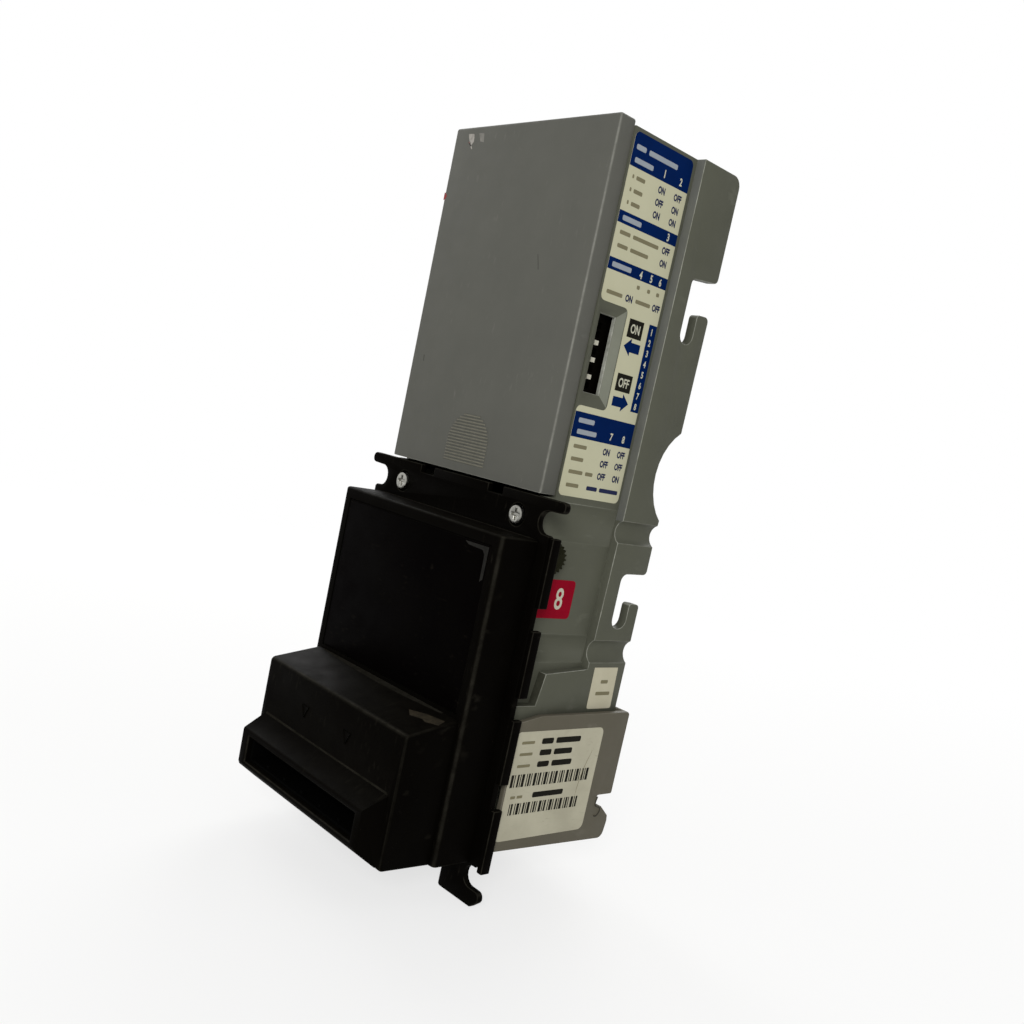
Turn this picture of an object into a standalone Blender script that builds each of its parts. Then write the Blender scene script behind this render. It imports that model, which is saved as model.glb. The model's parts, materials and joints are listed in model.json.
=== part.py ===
"""Bill validator for a vending machine door, modelled as it comes apart on a bench.

Frame: +X to the right seen from the front, +Y to the rear, +Z up. The origin lies on the front
face of the bezel's flange, midway between its two screws. Lengths below are in millimetres, and
MM turns them into metres when a mesh is made.
"""

import math
from dataclasses import dataclass

import bmesh
import bpy
from mathutils import Matrix, Vector

MM = 0.001
GAP = 0.3
ARC_STEPS = 5
ROUND_SIDES = 20

# Chassis sides
PANEL_OUT = 43.5
PANEL_IN = 39.5
FLANGE_OUT = 47.25
FLANGE_IN = 43.4
SIDE_TOP = 134.5
SIDE_BOTTOM = -67.8
FLANGE_BOTTOM = -69.6
PANEL_FRONT = 7.2
LOWER_FRONT = 3.2
WEB_REAR = 44.0
INNER_PLATE_BOTTOM = -113.0

# Grooves across the sides: (centre x, centre z, radius)
PANEL_GROOVE_1 = (50.6, 0.6, 9.9)
FLANGE_GROOVE_1 = (49.0, 0.2, 4.55)
PANEL_GROOVE_2 = (47.6, -45.3, 6.7)
FLANGE_GROOVE_2 = (49.7, -45.3, 4.95)

# Magazine door
DOOR_HALF = 43.0
DOOR_FRONT = -0.3
DOOR_WALL = 2.2
DOOR_RIM_BACK = 6.9
DOOR_BOTTOM = 9.2
DOOR_TOP = 136.4

# Bezel
FLANGE_THICK = 2.6
BOX_HALF, BOX_FRONT, BOX_TOP, BOX_BOTTOM = 47.0, -16.8, -6.3, -123.3
SNOUT_HALF, SNOUT_FRONT, SNOUT_TOP, SNOUT_RISE = 44.3, -37.7, -75.4, 4.6
MOUTH_HALF, MOUTH_ROOT_HALF, MOUTH_FRONT = 39.8, 41.2, -46.4
MOUTH_TOP, MOUTH_BOTTOM, MOUTH_ROOT_TOP = -102.2, -116.3, -97.2
SLOT_HALF, SLOT_TOP, SLOT_BOTTOM = 36.0, -104.4, -114.3
BEZEL_WALL = 2.2
SCREW_X = 33.6
STUD_DROP = -127.5
TAB_RANGES = ((-29.0, -4.6), (-61.0, -37.0), (-92.5, -69.0), (-125.6, -102.0))

# Bill path: level run, quarter bend and rise
BEND_Y, BEND_Z = 15.5, -87.5
BEND_INNER, BEND_OUTER = 20.8, 23.2
GUIDE_THICK = 2.0
GUIDE_HALF = 34.3
RISE_FRONT = BEND_Y + BEND_INNER
RISE_REAR = BEND_Y + BEND_OUTER

# Transport gears
MODULE = 1.5
GEAR_X = (34.6, 37.8)
PINION_TEETH, TRANSFER_TEETH, IDLER_TEETH, ROLLER_TEETH = 8, 10, 20, 16
SHAFT_R = 2.5
AXLE_R = 2.0
BELT_X = 29.0
PULLEY_R = 6.0
LIFT_Y, UPPER_Z = 45.2, 118.0
FEED_ROLLER_X, FEED_ROLLER_R = 18.0, 8.14
IDLER_ROLLER_R = 3.6

# Stacker
STACKER_MODULE = 1.0
RACK_PINION_TEETH, STACKER_TEETH, STACKER_MOTOR_TEETH = 8, 14, 12
STACKER_Y, STACKER_Z = 47.0, 75.0
STACKER_GEAR_X = (12.0, 15.0)
STACKER_MOTOR_Y = 50.2
PUSHER_FRONT, PUSHER_REAR = 39.2, 41.7

# Switch block
SLIDER_COUNT = 8
SLIDER_TOP_Z, SLIDER_PITCH = 69.6, 2.975
SLIDERS_OFF = (3, 5, 7)
SLIDER_ON_Y, SLIDER_OFF_Y, SLIDER_WIDTH = 11.6, 14.2, 2.0

# Lower housing
HOUSING_HALF, HOUSING_WALL = 51.0, 2.3
HOUSING_FRONT, HOUSING_REAR = 5.6, 65.0
HOUSING_TOP, HOUSING_BOTTOM = -68.2, -120.0


@dataclass
class Body:
    """A rigid body: an empty on its joint's axis, and that point in millimetres."""

    empty: bpy.types.Object
    point: Vector


def clear_scene():
    """Remove the start-up objects."""
    for item in list(bpy.data.objects):
        bpy.data.objects.remove(item)


def make_body(name, point=(0, 0, 0), parent=None):
    """Make a body's empty at a point, under its parent's empty."""
    empty = bpy.data.objects.new(name, None)
    bpy.context.collection.objects.link(empty)
    start = parent.point if parent else Vector((0, 0, 0))
    empty.location = (Vector(point) - start) * MM
    if parent:
        empty.parent = parent.empty
    return Body(empty, Vector(point))


def make_material(name, colour, roughness, metallic=0.0):
    """Make a Principled material from a linear colour."""
    material = bpy.data.materials.new(name)
    material.use_nodes = True
    shader = material.node_tree.nodes["Principled BSDF"]
    shader.inputs["Base Color"].default_value = (*colour, 1.0)
    shader.inputs["Roughness"].default_value = roughness
    shader.inputs["Metallic"].default_value = metallic
    return material


def place(axis, first, second, along):
    """Turn two in-plane coordinates and one along the axis into a point."""
    return {"X": (along, first, second), "Y": (first, along, second), "Z": (first, second, along)}[axis]


def span(side, low, high):
    """A range of x on one side of the middle plane, side being 1 or -1."""
    return tuple(sorted((side * low, side * high)))


def box(xs, ys, zs):
    """A cuboid over three ranges."""

    def build(bm):
        ranges = (xs, ys, zs)
        middle = Matrix.Translation([(low + high) / 2 for low, high in ranges])
        size = Matrix.Diagonal((*[high - low for low, high in ranges], 1.0))
        bmesh.ops.create_cube(bm, size=1.0, matrix=middle @ size)

    return build


def prism(axis, points, low, high):
    """An outline extruded along an axis."""

    def build(bm):
        base = bm.faces.new([bm.verts.new(place(axis, a, b, low)) for a, b in points])
        made = bmesh.ops.extrude_face_region(bm, geom=[base])
        moved = [item for item in made["geom"] if isinstance(item, bmesh.types.BMVert)]
        bmesh.ops.translate(bm, verts=moved, vec=place(axis, 0.0, 0.0, high - low))

    return build


def taper(axis, low_points, low, high_points, high):
    """A closed solid between two outlines of equal count at two heights."""

    def build(bm):
        first = [bm.verts.new(place(axis, a, b, low)) for a, b in low_points]
        second = [bm.verts.new(place(axis, a, b, high)) for a, b in high_points]
        bm.faces.new(first)
        bm.faces.new(second)
        for i in range(len(first)):
            j = (i + 1) % len(first)
            bm.faces.new((first[i], first[j], second[j], second[i]))

    return build


def flared(points, half):
    """A section in Y and Z spread to both sides, half giving the half width at each y."""

    def build(bm):
        first = [bm.verts.new((-half(a), a, b)) for a, b in points]
        second = [bm.verts.new((half(a), a, b)) for a, b in points]
        bm.faces.new(first)
        bm.faces.new(second)
        for i in range(len(first)):
            j = (i + 1) % len(first)
            bm.faces.new((first[i], first[j], second[j], second[i]))

    return build


def ring(axis, outer, inner, low, high):
    """A tube between an outer and an inner outline of equal count."""

    def build(bm):
        loops = [
            [bm.verts.new(place(axis, a, b, along)) for a, b in points]
            for points, along in ((outer, low), (outer, high), (inner, high), (inner, low))
        ]
        for first, second in zip(loops, loops[1:] + loops[:1]):
            for i in range(len(first)):
                j = (i + 1) % len(first)
                bm.faces.new((first[i], first[j], second[j], second[i]))

    return build


def circle(centre, radius, sides=ROUND_SIDES, start=0.0):
    """Points round a circle, from a start angle in radians."""
    turns = [start + math.tau * i / sides for i in range(sides)]
    return [(centre[0] + radius * math.cos(t), centre[1] + radius * math.sin(t)) for t in turns]


def rod(axis, centre, radius, low, high, sides=ROUND_SIDES):
    """A round bar along an axis."""
    return prism(axis, circle(centre, radius, sides), low, high)


def tube(axis, centre, radius, bore, low, high, sides=ROUND_SIDES):
    """A round bar with a bore."""
    return ring(axis, circle(centre, radius, sides), circle(centre, bore, sides), low, high)


def arc(centre, radius, start, end, steps=ARC_STEPS):
    """Points along an arc between two angles in radians."""
    angles = [start + (end - start) * i / steps for i in range(steps + 1)]
    return [(centre[0] + radius * math.cos(t), centre[1] + radius * math.sin(t)) for t in angles]


def arc_through(first, middle, last, steps):
    """Points on the circle through three points, from the first to the last."""
    a, b, c = Vector(first), Vector(middle), Vector(last)
    ab, ac = b - a, c - a
    twice = 2.0 * (ab.x * ac.y - ab.y * ac.x)
    ux = (ac.y * ab.length_squared - ab.y * ac.length_squared) / twice
    uy = (ab.x * ac.length_squared - ac.x * ab.length_squared) / twice
    centre = a + Vector((ux, uy))
    angles = [math.atan2(p.y - centre.y, p.x - centre.x) for p in (a, b, c)]
    turn = 1.0 if (angles[1] - angles[0]) % math.tau < (angles[2] - angles[0]) % math.tau else -1.0
    sweep = turn * ((turn * (angles[2] - angles[0])) % math.tau)
    return arc(centre, (a - centre).length, angles[0], angles[0] + sweep, steps)


def outline(*corners):
    """An outline whose corners may carry a third value, their rounding radius."""
    points = []
    for i, corner in enumerate(corners):
        here = Vector(corner[:2])
        radius = corner[2] if len(corner) > 2 else 0.0
        if radius == 0.0:
            points.append(tuple(here))
            continue
        back = (Vector(corners[i - 1][:2]) - here).normalized()
        ahead = (Vector(corners[(i + 1) % len(corners)][:2]) - here).normalized()
        half = back.angle(ahead) / 2
        centre = here + (back + ahead).normalized() * (radius / math.sin(half))
        reach = radius / math.tan(half)
        start, end = here + back * reach - centre, here + ahead * reach - centre
        first = math.atan2(start.y, start.x)
        sweep = (math.atan2(end.y, end.x) - first + math.pi) % math.tau - math.pi
        points.extend(arc(centre, radius, first, first + sweep))
    return points


def gear_outline(centre, teeth, module, phase):
    """A gear's outline: straight-sided teeth, the first one centred on the phase angle."""
    pitch = math.tau / teeth
    tip, root = module * (teeth / 2 + 0.7), module * (teeth / 2 - 1.0)
    points = []
    for tooth in range(teeth):
        middle = phase + tooth * pitch
        for radius, share in ((root, -0.28), (tip, -0.11), (tip, 0.11), (root, 0.28)):
            angle = middle + share * pitch
            points.append((centre[0] + radius * math.cos(angle), centre[1] + radius * math.sin(angle)))
    return points


def gear(centre, teeth, module, phase, bore, xs):
    """A gear wheel on an X axis."""
    outer = gear_outline(centre, teeth, module, phase)
    inner = [
        (centre[0] + bore * math.cos(t), centre[1] + bore * math.sin(t))
        for t in (math.atan2(b - centre[1], a - centre[0]) for a, b in outer)
    ]
    return ring("X", outer, inner, *xs)


def meshed_phase(centre, teeth, phase, other, other_teeth):
    """The phase that puts the other gear's teeth into this gear's gaps."""
    line = math.atan2(other[1] - centre[1], other[0] - centre[0])
    share = ((line - phase) / (math.tau / teeth)) % 1.0
    return line + math.pi + (share - 0.5) * math.tau / other_teeth


def mesh_object(name, shapes, body):
    """Make a mesh object from shapes, with its origin on the body's axis."""
    bm = bmesh.new()
    for shape in shapes:
        shape(bm)
    bmesh.ops.recalc_face_normals(bm, faces=bm.faces)
    bm.transform(Matrix.Scale(MM, 4) @ Matrix.Translation(-body.point))
    mesh = bpy.data.meshes.new(name)
    bm.to_mesh(mesh)
    bm.free()
    mesh.shade_smooth()
    mesh.set_sharp_from_angle(angle=math.radians(35))
    item = bpy.data.objects.new(name, mesh)
    item.parent = body.empty
    bpy.context.collection.objects.link(item)
    return item


def make(name, material, body, solids, cuts=()):
    """Make a node: the first solid, joined to the others and cut by the cuts."""
    node = mesh_object(name, solids[:1], body)
    node.data.materials.append(material)
    for label, shapes, operation in (("join", solids[1:], "UNION"), ("cut", cuts, "DIFFERENCE")):
        if not shapes:
            continue
        tool = mesh_object(f"{name}_{label}", shapes, body)
        tool.hide_render = True
        tool.display_type = "WIRE"
        modifier = node.modifiers.new(label, "BOOLEAN")
        modifier.operation = operation
        modifier.object = tool
        modifier.use_self = True
    return node


def below(centre, distance, dy):
    """The point at a distance from a centre, offset by dy and lower."""
    return (centre[0] + dy, centre[1] - math.sqrt(distance**2 - dy**2))


def centre_distance(first_teeth, second_teeth, module):
    """The distance between two meshed gears' axes."""
    return module * (first_teeth + second_teeth) / 2


# Gear train, from the thumb wheel down to the feed shaft and back to the lift shaft
THUMB = (10.5, -12.3)
MOTOR = below(THUMB, centre_distance(TRANSFER_TEETH, PINION_TEETH, MODULE), 4.0)
IDLER_UP = below(MOTOR, centre_distance(PINION_TEETH, IDLER_TEETH, MODULE), 5.0)
LIFT = below(IDLER_UP, centre_distance(IDLER_TEETH, ROLLER_TEETH, MODULE), LIFT_Y - IDLER_UP[0])
IDLER_LOW = below(IDLER_UP, centre_distance(IDLER_TEETH, IDLER_TEETH, MODULE), 2.7)
FEED = below(IDLER_LOW, centre_distance(IDLER_TEETH, ROLLER_TEETH, MODULE), -8.2)
UPPER = (LIFT_Y, UPPER_Z)
FEED_PHASE = 0.0
IDLER_LOW_PHASE = meshed_phase(FEED, ROLLER_TEETH, FEED_PHASE, IDLER_LOW, IDLER_TEETH)
IDLER_UP_PHASE = meshed_phase(IDLER_LOW, IDLER_TEETH, IDLER_LOW_PHASE, IDLER_UP, IDLER_TEETH)
LIFT_PHASE = meshed_phase(IDLER_UP, IDLER_TEETH, IDLER_UP_PHASE, LIFT, ROLLER_TEETH)
MOTOR_PHASE = meshed_phase(IDLER_UP, IDLER_TEETH, IDLER_UP_PHASE, MOTOR, PINION_TEETH)
TRANSFER_PHASE = meshed_phase(MOTOR, PINION_TEETH, MOTOR_PHASE, THUMB, TRANSFER_TEETH)
IDLER_ROLLER = (FEED[0], FEED[1] - FEED_ROLLER_R - 0.4 - IDLER_ROLLER_R)

# Stacker gears
STACKER = (STACKER_Y, STACKER_Z)
STACKER_REACH = centre_distance(STACKER_TEETH, STACKER_MOTOR_TEETH, STACKER_MODULE)
STACKER_RISE = math.sqrt(STACKER_REACH**2 - (STACKER_MOTOR_Y - STACKER_Y) ** 2)
STACKER_MOTOR = (STACKER_MOTOR_Y, STACKER_Z + STACKER_RISE)
RACK_LINE = STACKER_Z - STACKER_MODULE * RACK_PINION_TEETH / 2
STACKER_PHASE = -math.pi / 2
STACKER_MOTOR_PHASE = meshed_phase(
    STACKER, STACKER_TEETH, STACKER_PHASE, STACKER_MOTOR, STACKER_MOTOR_TEETH
)


def flange_outline():
    """The side flange in Y and Z: two J-shaped hook slots and a deep arc in its rear edge."""
    top = [
        (41.0, SIDE_TOP),
        (62.9, SIDE_TOP, 4.0),
        (62.9, 96.0, 2.0),
        (48.4, 94.6, 2.0),
        (48.4, 71.6, 3.5),
        (55.6, 71.6, 3.5),
        (55.6, 83.2, 1.6),
        (62.5, 83.6, 2.0),
    ]
    hollow = arc_through((62.0, 40.0), (53.3, 17.7), (60.8, 6.4), 10)
    lower = [
        (60.4, -14.9, 1.8),
        (46.7, -15.3, 3.0),
        (46.7, -36.2, 3.6),
        (54.6, -36.2, 3.6),
        (54.6, -26.2, 1.3),
        (60.3, -26.6, 1.5),
        (60.3, FLANGE_BOTTOM),
        (24.0, FLANGE_BOTTOM),
        (LOWER_FRONT, -73.0),
        (LOWER_FRONT, -65.4),
        (15.6, -65.6),
        (17.7, -53.8),
        (37.8, -52.2),
        (39.2, -52.0),
        (39.3, -40.0),
        (40.4, 4.0),
    ]
    return outline(*top, *hollow, *lower)


def panel_outline():
    """The recessed panel of a side in Y and Z."""
    return [
        (PANEL_FRONT, SIDE_TOP),
        (WEB_REAR, SIDE_TOP),
        (WEB_REAR, SIDE_BOTTOM),
        (LOWER_FRONT, SIDE_BOTTOM),
        (LOWER_FRONT, 8.4),
        (PANEL_FRONT, 8.4),
    ]


def groove(side, centre_x, centre_z, radius, front, rear):
    """A cutter for a round groove across one side, along Y."""
    return rod("Y", (side * centre_x, centre_z), radius, front, rear, 28)


def build_side_wall(name, side, material, body):
    """One chassis side: panel, flange, shaft bosses, screw boss and inner plate."""
    boss_x = span(side, PANEL_IN, PANEL_OUT)
    solids = [
        prism("X", panel_outline(), *span(side, PANEL_IN, PANEL_OUT)),
        prism("X", flange_outline(), *span(side, FLANGE_IN, FLANGE_OUT)),
        box(span(side, 39.8, 43.0), (LOWER_FRONT, 40.0), (INNER_PLATE_BOTTOM, SIDE_BOTTOM + 2.0)),
        box(span(side, 30.0, 40.0), (3.0, 12.5), (-3.2, 4.0)),
    ]
    solids += [box(boss_x, (43.0, 51.0), (z - 7.0, z + 7.0)) for z in (LIFT[1], UPPER_Z)]
    cuts = [
        groove(side, *PANEL_GROOVE_1, 2.0, 39.8),
        groove(side, *FLANGE_GROOVE_1, 38.0, 64.0),
        groove(side, *PANEL_GROOVE_2, 2.0, 38.8),
        groove(side, *FLANGE_GROOVE_2, 38.0, 64.0),
        rod("X", FEED, SHAFT_R + GAP, *span(side, 38.0, 44.0)),
        rod("X", LIFT, SHAFT_R + GAP, *span(side, 38.0, 43.2)),
        rod("X", UPPER, SHAFT_R + GAP, *span(side, 38.0, 43.2)),
        rod("Y", (side * SCREW_X, 0.0), 1.8, 2.0, 12.0, 14),
    ]
    if side > 0:
        solids += [rod("X", axle, AXLE_R, 34.4, 41.0) for axle in (IDLER_UP, IDLER_LOW)]
        rim = [(7.7, 42.3), (22.3, 42.3), (22.3, 76.6), (7.7, 76.6)]
        hole = [(11.5, 46.2), (19.5, 46.2), (19.5, 73.4), (11.5, 73.4)]
        cuts += [
            taper("X", hole, 41.2, rim, PANEL_OUT + 0.02),
            prism("X", hole, 38.0, 41.4),
            rod("X", THUMB, AXLE_R + GAP, 38.0, 46.0),
        ]
    make(name, material, body, solids, cuts)


def bezel_flange_outline():
    """The bezel's flange in X and Z, with two stud ears at each side and two top notches."""
    right = [
        (16.0, 8.3),
        (16.0, 5.3),
        (24.0, 5.3),
        (24.0, 8.3),
        (56.0, 8.3, 1.8),
        (56.0, 4.4, 1.8),
        (44.6, 4.0, 3.9),
        (44.6, -4.0, 3.9),
        (51.0, -4.0, 0.8),
        (51.0, STUD_DROP + 4.0, 0.8),
        (45.2, STUD_DROP + 4.0, 3.9),
        (45.2, STUD_DROP - 4.0, 3.9),
        (54.4, STUD_DROP - 4.0, 2.2),
        (54.8, STUD_DROP - 7.1, 2.0),
        (51.2, -138.0, 1.5),
        (33.2, -138.0, 1.2),
        (33.2, -124.4),
    ]
    left = [(-corner[0], *corner[1:]) for corner in reversed(right)]
    return outline(*right, *left)


def mouth_half(y):
    """Half the width of the mouth block, which narrows from its root to its front."""
    share = (y - MOUTH_FRONT) / (SNOUT_FRONT - MOUTH_FRONT)
    return MOUTH_HALF + (MOUTH_ROOT_HALF - MOUTH_HALF) * share


def build_bezel(material, panel_material, screw_material, body):
    """The black bezel, its set-in panel and its two screws."""
    box_plan = outline(
        (-BOX_HALF, 0.5), (-BOX_HALF, BOX_FRONT, 2.0), (BOX_HALF, BOX_FRONT, 2.0), (BOX_HALF, 0.5)
    )
    snout = outline(
        (BOX_FRONT + 1.0, SNOUT_TOP + SNOUT_RISE),
        (SNOUT_FRONT, SNOUT_TOP, 2.0),
        (SNOUT_FRONT, BOX_BOTTOM + 0.4, 1.5),
        (BOX_FRONT + 1.0, BOX_BOTTOM),
    )
    mouth = outline(
        (SNOUT_FRONT + 1.7, MOUTH_ROOT_TOP + 1.0),
        (SNOUT_FRONT, MOUTH_ROOT_TOP),
        (MOUTH_FRONT, MOUTH_TOP, 1.2),
        (MOUTH_FRONT, MOUTH_BOTTOM, 1.2),
        (SNOUT_FRONT, BOX_BOTTOM + 0.9),
        (SNOUT_FRONT + 1.7, BOX_BOTTOM + 0.9),
    )
    solids = [
        prism("Y", bezel_flange_outline(), 0.0, FLANGE_THICK),
        prism("Z", box_plan, BOX_BOTTOM, BOX_TOP),
        prism("X", snout, -SNOUT_HALF, SNOUT_HALF),
        flared(mouth, mouth_half),
    ]
    solids += [box(span(side, 50.4, 52.7), (1.0, 5.1), tab) for side in (1, -1) for tab in TAB_RANGES]
    inner_box, inner_snout = BOX_HALF - BEZEL_WALL, SNOUT_HALF - BEZEL_WALL
    inner_floor = BOX_BOTTOM + BEZEL_WALL
    cuts = [
        box((-inner_box, inner_box), (BOX_FRONT + BEZEL_WALL, 6.0), (inner_floor, BOX_TOP - BEZEL_WALL)),
        box(
            (-inner_snout, inner_snout),
            (SNOUT_FRONT + BEZEL_WALL, -12.0),
            (inner_floor + 0.2, SNOUT_TOP - BEZEL_WALL),
        ),
        box((-SLOT_HALF, SLOT_HALF), (MOUTH_FRONT - 2.0, -30.0), (SLOT_BOTTOM, SLOT_TOP)),
        box((-42.5, 42.5), (BOX_FRONT - 1.0, BOX_FRONT + 0.9), (-69.6, -10.5)),
    ]
    for side in (1, -1):
        cuts.append(rod("Y", (side * SCREW_X, 0.0), 4.1, -1.0, 1.3))
        cuts.append(rod("Y", (side * SCREW_X, 0.0), 1.9, 1.0, 4.0, 14))
    make("bezel", material, body, solids, cuts)
    plate = outline((-42.2, -69.3, 1.0), (42.2, -69.3, 1.0), (42.2, -10.8, 1.0), (-42.2, -10.8, 1.0))
    make("bezel_window", panel_material, body, [prism("Y", plate, BOX_FRONT + 0.1, BOX_FRONT + 0.6)])
    for side, name in ((1, "bezel_screw_right"), (-1, "bezel_screw_left")):
        centre = (side * SCREW_X, 0.0)
        head = [rod("Y", centre, 3.25, -0.9, 1.0), rod("Y", centre, 1.5, 0.8, 11.5, 14)]
        cross = [
            box((centre[0] - 2.0, centre[0] + 2.0), (-1.2, -0.1), (-0.45, 0.45)),
            box((centre[0] - 0.45, centre[0] + 0.45), (-1.2, -0.1), (-2.0, 2.0)),
        ]
        make(name, screw_material, body, head, cross)


def build_mouth_guide(material, body):
    """The funnel inside the bezel's mouth, with ribs that keep the bill flat."""
    floor = [
        (-44.0, -113.95),
        (-44.0, -113.0),
        (-20.0, -110.7),
        (3.2, -110.7),
        (3.2, -112.5),
        (-20.0, -112.5),
        (-36.0, -113.95),
    ]
    roof = [
        (-44.0, -104.7),
        (-36.0, -104.7),
        (-20.0, -106.4),
        (-2.4, -106.4),
        (-2.4, -108.2),
        (-20.0, -108.2),
        (-44.0, -105.7),
    ]
    cheek = [
        (-44.0, -104.7),
        (-36.0, -104.7),
        (-20.0, -106.4),
        (-2.4, -106.4),
        (-2.4, -112.5),
        (-20.0, -112.5),
        (-36.0, -113.95),
        (-44.0, -113.95),
    ]
    rib = [(-43.0, -113.5), (-43.0, -111.9), (-22.0, -110.2), (-22.0, -112.0)]
    solids = [prism("X", floor, -35.6, 35.6)]
    solids += [prism("X", roof, -35.6, 35.6)]
    solids += [prism("X", cheek, *span(side, 34.4, 35.6)) for side in (1, -1)]
    solids += [prism("X", rib, x - 0.7, x + 0.7) for x in (-24.0, -12.0, 0.0, 12.0, 24.0)]
    make("mouth_guide", material, body, solids)


def bend_outline(near, far, start, rise_top):
    """A bill guide's section: level run, quarter bend and rise, between two bend radii."""
    centre = (BEND_Y, BEND_Z)
    down, level = -math.pi / 2, 0.0
    return [
        (start, BEND_Z - near),
        *arc(centre, near, down, level, 8),
        (BEND_Y + near, rise_top),
        (BEND_Y + far, rise_top),
        *arc(centre, far, level, down, 8),
        (start, BEND_Z - far),
    ]


def build_bill_path(dark, body):
    """The guides that are fixed to the chassis: bend, stacking window and rear plate."""
    roller_gap = (FEED_ROLLER_X - 5.6, FEED_ROLLER_X + 5.6)
    bend = bend_outline(BEND_INNER, BEND_INNER - GUIDE_THICK, -2.1, 9.6)
    windows = [box(span(side, *roller_gap), (6.0, 22.0), (-112.0, -101.0)) for side in (1, -1)]
    make("upper_guide", dark, body, [prism("X", bend, -GUIDE_HALF, GUIDE_HALF)], windows)
    frame = box((-39.2, 39.2), (RISE_FRONT - 2.1, RISE_FRONT - 0.1), (10.0, 129.2))
    make("stack_window", dark, body, [frame], [box((-25.0, 25.0), (30.0, 40.0), (22.0, 118.0))])
    rear = (RISE_REAR, RISE_REAR + GUIDE_THICK)
    solids = [
        box((-39.2, 39.2), rear, (-68.5, 133.4)),
        box((-39.2, 39.2), (RISE_FRONT - 2.1, RISE_REAR + 0.2), (129.6, 133.4)),
    ]
    cuts = [
        box((-24.0, 24.0), (30.0, 45.0), (24.0, 116.0)),
        box((33.9, 41.0), (30.0, 45.0), (-70.0, LIFT[1] + 14.0)),
    ]
    belt_slot = (LIFT[1] - 8.5, UPPER_Z + 8.5)
    cuts += [box(span(side, BELT_X - 2.6, BELT_X + 2.6), (30.0, 45.0), belt_slot) for side in (1, -1)]
    make("rear_guide", dark, body, solids, cuts)


def build_rear_cover(grey, black, body):
    """The hump over belts and stacker, widened over the lift gear, and the harness socket."""
    rear, front, inner = 60.3, 41.1, 58.5
    hump = outline((-34.0, front), (-34.0, rear, 4.0), (34.0, rear, 4.0), (34.0, front))
    wide = outline((-39.2, front), (-39.2, rear, 3.0), (39.2, rear, 3.0), (39.2, front))
    solids = [prism("Z", hump, -40.0, 131.0), prism("Z", wide, -67.4, -38.0)]
    shaft_slot = (front - 1.0, LIFT_Y + SHAFT_R + 0.8)
    cuts = [
        box((-32.2, 32.2), (front - 1.0, inner), (-41.0, 129.2)),
        box((-38.3, 38.3), (front - 1.0, inner), (-70.0, -39.8)),
        box((-24.4, -6.6), (inner - 1.0, rear + 1.0), (-60.0, -47.0)),
    ]
    cuts += [box((-45.0, 45.0), shaft_slot, (z - 3.4, z + 3.4)) for z in (LIFT[1], UPPER_Z)]
    make("rear_cover", grey, body, solids, cuts)
    socket = box((-24.0, -7.0), (50.0, 61.5), (-59.6, -47.4))
    make("harness_socket", black, body, [socket], [box((-22.0, -9.0), (53.0, 63.0), (-57.6, -49.4))])


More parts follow.
